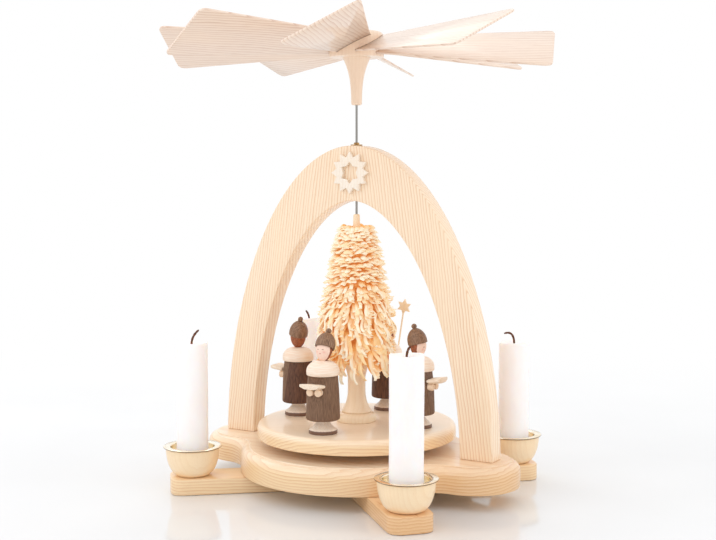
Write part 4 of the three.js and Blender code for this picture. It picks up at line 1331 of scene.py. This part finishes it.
def paddles():
    material = board_wood("paddle_veneer", VENEER, **VENEER_GRAIN)
    chance = random.Random(3)
    for index in range(PADDLE_COUNT):
        mesh = softened(paddle_board(0), PADDLE_EDGE, 2, 50)
        name = f"paddle_{index + 1}"
        shift = (chance.uniform(0, 900), chance.uniform(-14, 14), chance.uniform(0, 40))
        finished(f"vane_{index + 1}", mesh, "rotor", material, [name], paddle_place(index), shift)


def rotor_hub():
    """A disc with a low dome on a hollow cone, with a slot for every paddle."""
    low, high = box("rotor_hub")
    disc, dome = high.z - HUB_DISC_HEIGHT, high.z - HUB_DOME
    cone = []
    for i in range(15):
        share = i / 14
        radius = HUB_NECK + HUB_FLARE * share ** 3 + HUB_TAPER * share
        cone.append((radius, low.z + 0.8 + (disc - low.z - 0.8) * share))
    profile = [(0, low.z), (2.0, low.z), (3.2, low.z + 0.25)] + cone + eased([
        (cone[-1][0] + 0.2, disc), (HUB_DISC, disc, 1.0), (HUB_DISC, dome, 1.2),
        (HUB_DISC - 1.7, dome + 2.3, 1.6), (HUB_DISC - 8, high.z - 0.6, 4.0), (0, high.z),
    ], 5)
    bore = rod(SPINDLE_BORE, low.z - OVERRUN, disc + HUB_BORE_DEPTH, 20)
    slots = [moved(paddle_board(SLOT_GAP), paddle_place(index)) for index in range(PADDLE_COUNT)]
    mesh = cut(turned(profile, 96), [bore] + slots)
    material = turned_wood("hub_wood", HUB_MAPLE)
    finished("hub", mesh, "rotor", material, ["rotor_hub"], shift=(30, 80, 0), sharp=35)


# Carol figures. Each is drawn standing at the origin of its own place, looking along +X
FIGURE_CIRCLE = 48
FIGURE_RIM = 9.7
FIGURE_RIM_HEIGHT = 2.4
FIGURE_STEM = 4.6
CAPE_BOTTOM = 11.6
CAPE_TOP = 10.1
CAPE_ROUND = 1.9
CAPE_FRONT = 7.6
CAPE_SLOPE = 9.6
CAPE_EDGE = 0.35
COLLAR_RADIUS = 11.2
COLLAR_HEIGHT = 9.6
COLLAR_EDGE = 2.6
NECK = 2.9
HEAD_RADIUS = 5.6
HEAD_LOWER = 8.5
HEAD_ABOVE_COLLAR = 7.6
NOSE_LENGTH = 0.45
NOSE_SIZE = (0.9, 1.1)
NOSE_DROP = 1.6
HEAD_TURN = {"left": -25}
HEAD_TIP = {"front": 14}
HAT_RADIUS = 6.8
HAT_ABOVE_HEAD = 0.9
HAT_HEIGHT = 11.2
HAT_BAND = 2.2
HAT_TILT = 14
HAT_WALL_GAP = 0.2
POMPOM = 1.9
HAND_RADIUS = 2.5
HAND_SPREAD = 3.1
HAND_DROP = 10.2
HAND_REACH = 10.8
HAND_HOLE_GAP = 0.12
PEG_DEPTH = 3.4
BOOK_WIDTH = 14.7
BOOK_DEPTH = 9.4
BOOK_THICKNESS = 1.4
BOOK_SPINE = 3.3
BOOK_FLAT_HALF = 3.4
BOOK_GRIP = 0.4
BOOK_FOLD = 22
BOOK_TILT = 8
BOOK_GAP = 0.6
BOOK_FAN = 0.3
BOOK_EDGE = 0.22
KNUCKLE_EDGE = 0.5
STAFF_RADIUS = 0.6
STAFF_GAP = 0.3
STAFF_LENGTH = 48
STAFF_LEAN = 9
STAFF_STAR_POINTS = 6
STAFF_STAR_TIP = 6
STAFF_STAR_NOTCH = 3.2
STAFF_STAR_THICKNESS = 1.6


def figure_place(side):
    foot = box(f"figure_foot_{side}")[0].z
    return turn(CAROUSEL_TURN + SIDES[side]) @ move(FIGURE_CIRCLE, 0, foot)


def span(node, side):
    """A figure node's lowest and highest level above the turntable."""
    foot = box(f"figure_foot_{side}")[0].z
    low, high = box(node)
    return low.z - foot, high.z - foot


def head_place(side, collar_top):
    """Where a head and its hat sit: turned aside, and leaned back about the middle of the collar's top."""
    lean = move(0, 0, collar_top) @ turn(-HEAD_TIP.get(side, 0), "Y") @ move(0, 0, -collar_top)
    return figure_place(side) @ turn(HEAD_TURN.get(side, 0)) @ lean


def figure_foot(side, material):
    top = span(f"figure_foot_{side}", side)[1]
    rim, stem = FIGURE_RIM_HEIGHT, FIGURE_STEM
    flare, lift = FIGURE_RIM - stem, top - rim
    profile = eased([
        (0, 0), (FIGURE_RIM, 0, 0.4), (FIGURE_RIM, rim, 0.4), (stem + flare * 0.8, rim + lift * 0.13, 0.8),
        (stem + flare * 0.4, rim + lift * 0.35, 1.5), (stem, rim + lift * 0.75, 1.5), (stem, top), (0, top),
    ])
    node = [f"figure_foot_{side}"]
    finished(f"foot_{side}", turned(profile, 56), "carousel", material, node, figure_place(side))


def peg_pair(radius, segments, hand_level, hand_reach):
    """Two level pegs with rounded ends, side by side."""
    inner = (radius - 0.5, -PEG_DEPTH)
    profile = eased([(0, -PEG_DEPTH), inner, (radius, 0.4, 0.6), (radius, radius, 1.5), (0, radius)])
    places = [move(hand_reach, way * HAND_SPREAD, hand_level) @ turn(90, "Y") for way in (-1, 1)]
    return [moved(turned(profile, segments), place) for place in places]


def cape_front(top, level):
    """Where the slanted flat front of a cape stands at a level."""
    return CAPE_FRONT + (top - level) * math.tan(math.radians(CAPE_SLOPE))


def figure_cape(side, material, hand_level, hand_reach, chance):
    """A turned coat with a flat slanted front, and the holes that its hands are glued into."""
    bottom, top = span(f"figure_cape_{side}", side)
    hem = (CAPE_BOTTOM, bottom, CAPE_ROUND)
    waist = ((CAPE_BOTTOM + CAPE_TOP) / 2 + 0.2, bottom + (top - bottom) * 0.6, 9)
    profile = eased([(0, bottom), hem, waist, (CAPE_TOP, top, 0.5), (0, top)], 7)
    size = 3 * CAPE_BOTTOM
    plane = board(rectangle(0, size, -size, size), -2 * size, size)
    moved(plane, move(CAPE_FRONT, 0, top) @ turn(-CAPE_SLOPE, "Y"))
    coat = softened(cut(turned(profile, 96), [plane]), CAPE_EDGE, 2, 25)
    mesh = cut(coat, peg_pair(HAND_RADIUS + HAND_HOLE_GAP, 24, hand_level, hand_reach))
    node = [f"figure_cape_{side}"]
    shift = (0, 0, chance.uniform(0, 200))
    finished(f"cape_{side}", mesh, "carousel", material, node, figure_place(side), shift)


def figure_bust(side, paint, head):
    """A domed collar, and an egg-shaped head that stands on its narrow end. Gives the collar's top."""
    bottom = span(f"figure_bust_{side}", side)[0]
    collar_top = bottom + COLLAR_HEIGHT
    dome = (COLLAR_RADIUS - NECK, COLLAR_HEIGHT - COLLAR_EDGE)
    collar = [(0, bottom), (COLLAR_RADIUS - 0.5, bottom), (COLLAR_RADIUS - 0.1, bottom + 0.4)]
    collar += arc(NECK, bottom + COLLAR_EDGE, dome, 0, math.pi / 2, 13)
    collar += [(NECK, collar_top), (0, collar_top)]
    egg = [(0, head - HEAD_LOWER)]
    for i in range(1, 15):
        drop = math.sin(math.pi / 2 * (1 - i / 14))
        egg.append((HEAD_RADIUS * (1 - drop ** 2) ** 0.6, head - drop * HEAD_LOWER))
    egg += arc(0, head, HEAD_RADIUS, 0, math.pi / 2, 12)[1:] + [(0, head + HEAD_RADIUS)]
    skull = turned(egg)
    nose_wide, nose_high = NOSE_SIZE
    for vertex in skull.vertices:
        x, y, z = vertex.co
        if x > 0:
            away = (y / nose_wide) ** 2 + ((z - head + NOSE_DROP) / nose_high) ** 2
            vertex.co.x += NOSE_LENGTH * math.exp(-away)
    node = [f"figure_bust_{side}"]
    finished(f"collar_{side}", turned(collar), "carousel", paint, node, figure_place(side), sharp=60)
    finished(f"head_{side}", skull, "carousel", paint, node, head_place(side, collar_top), sharp=60)
    return collar_top


def figure_hat(side, material, head, collar_top, chance):
    """A domed cap with a ball on top, hollow below, set back on the head."""
    rim = head + HAT_ABOVE_HEAD
    hollow = HEAD_RADIUS + HAT_WALL_GAP
    dome = HAT_HEIGHT - HAT_BAND
    wide = HAT_RADIUS
    outside = [(hollow + 0.1, rim), (wide - 0.5, rim - 0.1), (wide - 0.1, rim + 0.25), (wide, rim + 0.8)]
    for i in range(14):
        angle = math.pi / 2 * i / 14
        outside.append((wide * math.cos(angle) ** 1.1, rim + HAT_BAND + dome * math.sin(angle)))
    knob = rim + HAT_HEIGHT + POMPOM * 0.6
    for i in range(12):
        angle = math.pi * (0.28 + 0.72 * i / 12)
        outside.append((POMPOM * math.sin(angle), knob - POMPOM * math.cos(angle)))
    outside.append((0, knob + POMPOM))
    brim = math.asin(HAT_ABOVE_HEAD / hollow)
    inside = [(0, head + hollow)] + arc(0, head, hollow, math.pi / 2, brim, 10)[1:] + outside[:1]
    mesh = merged(turned(outside[::-1], 64), turned(inside, 64))
    tilt = move(0, 0, head) @ turn(-HAT_TILT, "Y") @ move(0, 0, -head)
    place = head_place(side, collar_top) @ tilt
    node = [f"figure_hat_{side}"]
    shift = (chance.uniform(-30, 30), chance.uniform(-30, 30), 0)
    finished(f"hat_{side}", mesh, "carousel", material, node, place, shift, 50)


def song_book(side, paper, peg_wood, hand_level, cape_top):
    """An open book lying on two hands, its leaves slightly fanned."""
    half, depth = BOOK_WIDTH / 2, BOOK_DEPTH
    run = half - BOOK_FLAT_HALF
    slope = run * math.tan(math.radians(BOOK_FOLD))
    lift = slope + BOOK_THICKNESS - BOOK_SPINE
    right = [(0, 0)] + [(BOOK_FLAT_HALF + run * k / 5, slope * (k / 5) ** 1.2) for k in range(6)]
    for k in range(6, 0, -1):
        right.append((half * k / 6, BOOK_SPINE + lift * k / 6 + BOOK_FAN * math.sin(math.pi * k / 6)))
    right.append((0, BOOK_SPINE))
    left = [(-x, y) for x, y in reversed(right) if x > 0]
    mesh = softened(board(right + left, -depth / 2, depth / 2), BOOK_EDGE, 2, 40)
    out = cape_front(cape_top, hand_level) + BOOK_GAP + depth / 2
    tilted = move(HAND_REACH, 0, hand_level + HAND_RADIUS - BOOK_GRIP) @ turn(-BOOK_TILT, "Y")
    moved(mesh, tilted @ move(out - HAND_REACH, 0, 0) @ turn(90, "Z") @ turn(90, "X"))
    pegs = merged(*peg_pair(HAND_RADIUS, 36, hand_level, HAND_REACH))
    node = [f"song_book_{side}"]
    finished(f"book_{side}", mesh, "carousel", paper, node, figure_place(side))
    finished(f"hands_{side}", pegs, "carousel", peg_wood, node, figure_place(side))


def staff_bearer(maple, peg_wood, hand_level, hand_reach):
    """The rear singer holds a staff with a star in front of the coat."""
    place = figure_place("back")
    half = HAND_RADIUS / 2
    knuckle = board(rectangle(-half, half, -HAND_SPREAD, HAND_SPREAD), -half, half)
    knuckle = softened(knuckle, KNUCKLE_EDGE)
    moved(knuckle, move(hand_reach, 0, hand_level))
    pegs = merged(*peg_pair(HAND_RADIUS, 36, hand_level, hand_reach), knuckle)
    finished("hands_back_pegs", pegs, "carousel", peg_wood, ["hands_back"], place)
    foot = span("star_staff", "back")[0]
    radius, length = STAFF_RADIUS, STAFF_LENGTH
    staff = turned([(0, 0), (radius - 0.1, 0.1), (radius, 0.6), (radius, length), (0, length + 1)], 20)
    outline = star_outline(STAFF_STAR_POINTS, STAFF_STAR_TIP, STAFF_STAR_NOTCH)
    star = softened(board(outline, -STAFF_STAR_THICKNESS / 2, STAFF_STAR_THICKNESS / 2), STAR_EDGE, 2)
    moved(star, move(0, 0, length + STAFF_STAR_NOTCH) @ turn(90, "Z") @ turn(90, "X"))
    mesh = moved(merged(staff, star), move(hand_reach, 0, foot) @ turn(STAFF_LEAN, "X"))
    finished("staff_with_star", mesh, "carousel", maple, ["star_staff"], place, (10, 10, 60))


def carol_figures(maple):
    cape_top = span("figure_cape_front", "front")[1]
    bust_bottom = span("figure_bust_front", "front")[0]
    head = bust_bottom + COLLAR_HEIGHT + HEAD_ABOVE_COLLAR
    hand_level = cape_top - HAND_DROP
    coat, cap = coat_stain(cape_top), cap_stain()
    peg_wood, paper = hand_wood(hand_level), book_wood()
    rim = foot_paint(FIGURE_RIM_HEIGHT + 0.1)
    paint = bust_paint(head, bust_bottom + COLLAR_HEIGHT)
    chance = random.Random(11)
    for side in SIDES:
        reach = COLLAR_RADIUS + STAFF_GAP + STAFF_RADIUS if side == "back" else HAND_REACH
        figure_foot(side, rim)
        figure_cape(side, coat, hand_level, reach, chance)
        collar_top = figure_bust(side, paint, head)
        figure_hat(side, cap, head, collar_top, chance)
        if side == "back":
            staff_bearer(maple, peg_wood, hand_level, reach)
        else:
            song_book(side, paper, peg_wood, hand_level, cape_top)


# Floor, background and light
FLOOR_SIZE = 8
FLOOR_LEVEL = -0.0002
LIGHT_TARGET = Vector((0, 0, 0.14))


def add_floor():
    """A pale table top that fades into the white background."""
    mesh = plain_mesh([(x, y, 0) for x, y in rectangle(-1, 1, -1, 1)], [(0, 1, 2, 3)])
    mesh.transform(Matrix.Translation((0, 0, FLOOR_LEVEL)) @ Matrix.Scale(FLOOR_SIZE / 2, 4))
    finish = Finish("table_top", 0.09, Specular_IOR_Level=0.8)
    place = finish.object_place()
    x, y, _ = finish.parts(place)
    haze = finish.noise(place, 6.0)
    finish.feed("Base Color", finish.mix(haze.ramp(0.3, 0.7), *TABLE_TOP))
    glow = finish.node("ShaderNodeEmission", None, {"Color": (1, 1, 1, 1), "Strength": 1.0})
    inputs = {0: far(x, y).ramp(0.2, 0.75), 1: finish.shader, 2: glow}
    blend = finish.node("ShaderNodeMixShader", None, inputs)
    finish.tree.links.new(blend.out, finish.surface.inputs[0])
    mesh.materials.append(finish.material)
    floor = in_scene("floor", mesh)


def add_world():
    world = bpy.data.worlds.new("studio")
    world.use_nodes = True
    bpy.context.scene.world = world
    wiring = Wiring(world.node_tree)
    background = wiring.node("ShaderNodeBackground", None, {"Color": (1, 1, 1, 1), "Strength": 1.0})
    wiring.node("ShaderNodeOutputWorld", None, {0: background})


def add_light(name, place, size, power):
    data = bpy.data.lights.new(name, "AREA")
    data.shape = "SQUARE"
    data.size = size
    data.energy = power
    aimed(in_scene(name, data), place, LIGHT_TARGET)


add_camera()
maple = turned_wood("turned_maple")
pan_low, pan_high = box("drip_pan_front_left")
pan_rim = ((pan_high.x - pan_low.x) / 2, pan_high.z)
brass = sheet_brass("sheet_brass", BRASS, pan_rim)
old_brass = sheet_brass("old_brass", OLD_BRASS)
steel = drawn_steel()

foot_cross()
base_plate()
arch()
top_bush(old_brass)
arch_star()
candle_places(brass)
turntable()
shaving_tree(maple)
spindle(steel)
rotor_hub()
paddles()
carol_figures(maple)

dress(steel, "foot_screw_1", "foot_screw_2")
dress(brass, "pivot_cup")
dress(maple, "arch_dowel_left", "arch_dowel_right")

add_floor()
add_world()
add_light("key_left", from_camera(-1.1, 0.5, 1.0), 0.9, 3.0)
add_light("fill_right", from_camera(1.3, 0.6, 0.4), 1.2, 2.6)
add_light("back_top", from_camera(-0.4, -1.0, 1.4), 1.2, 4)
bpy.context.scene.view_settings.view_transform = "Standard"
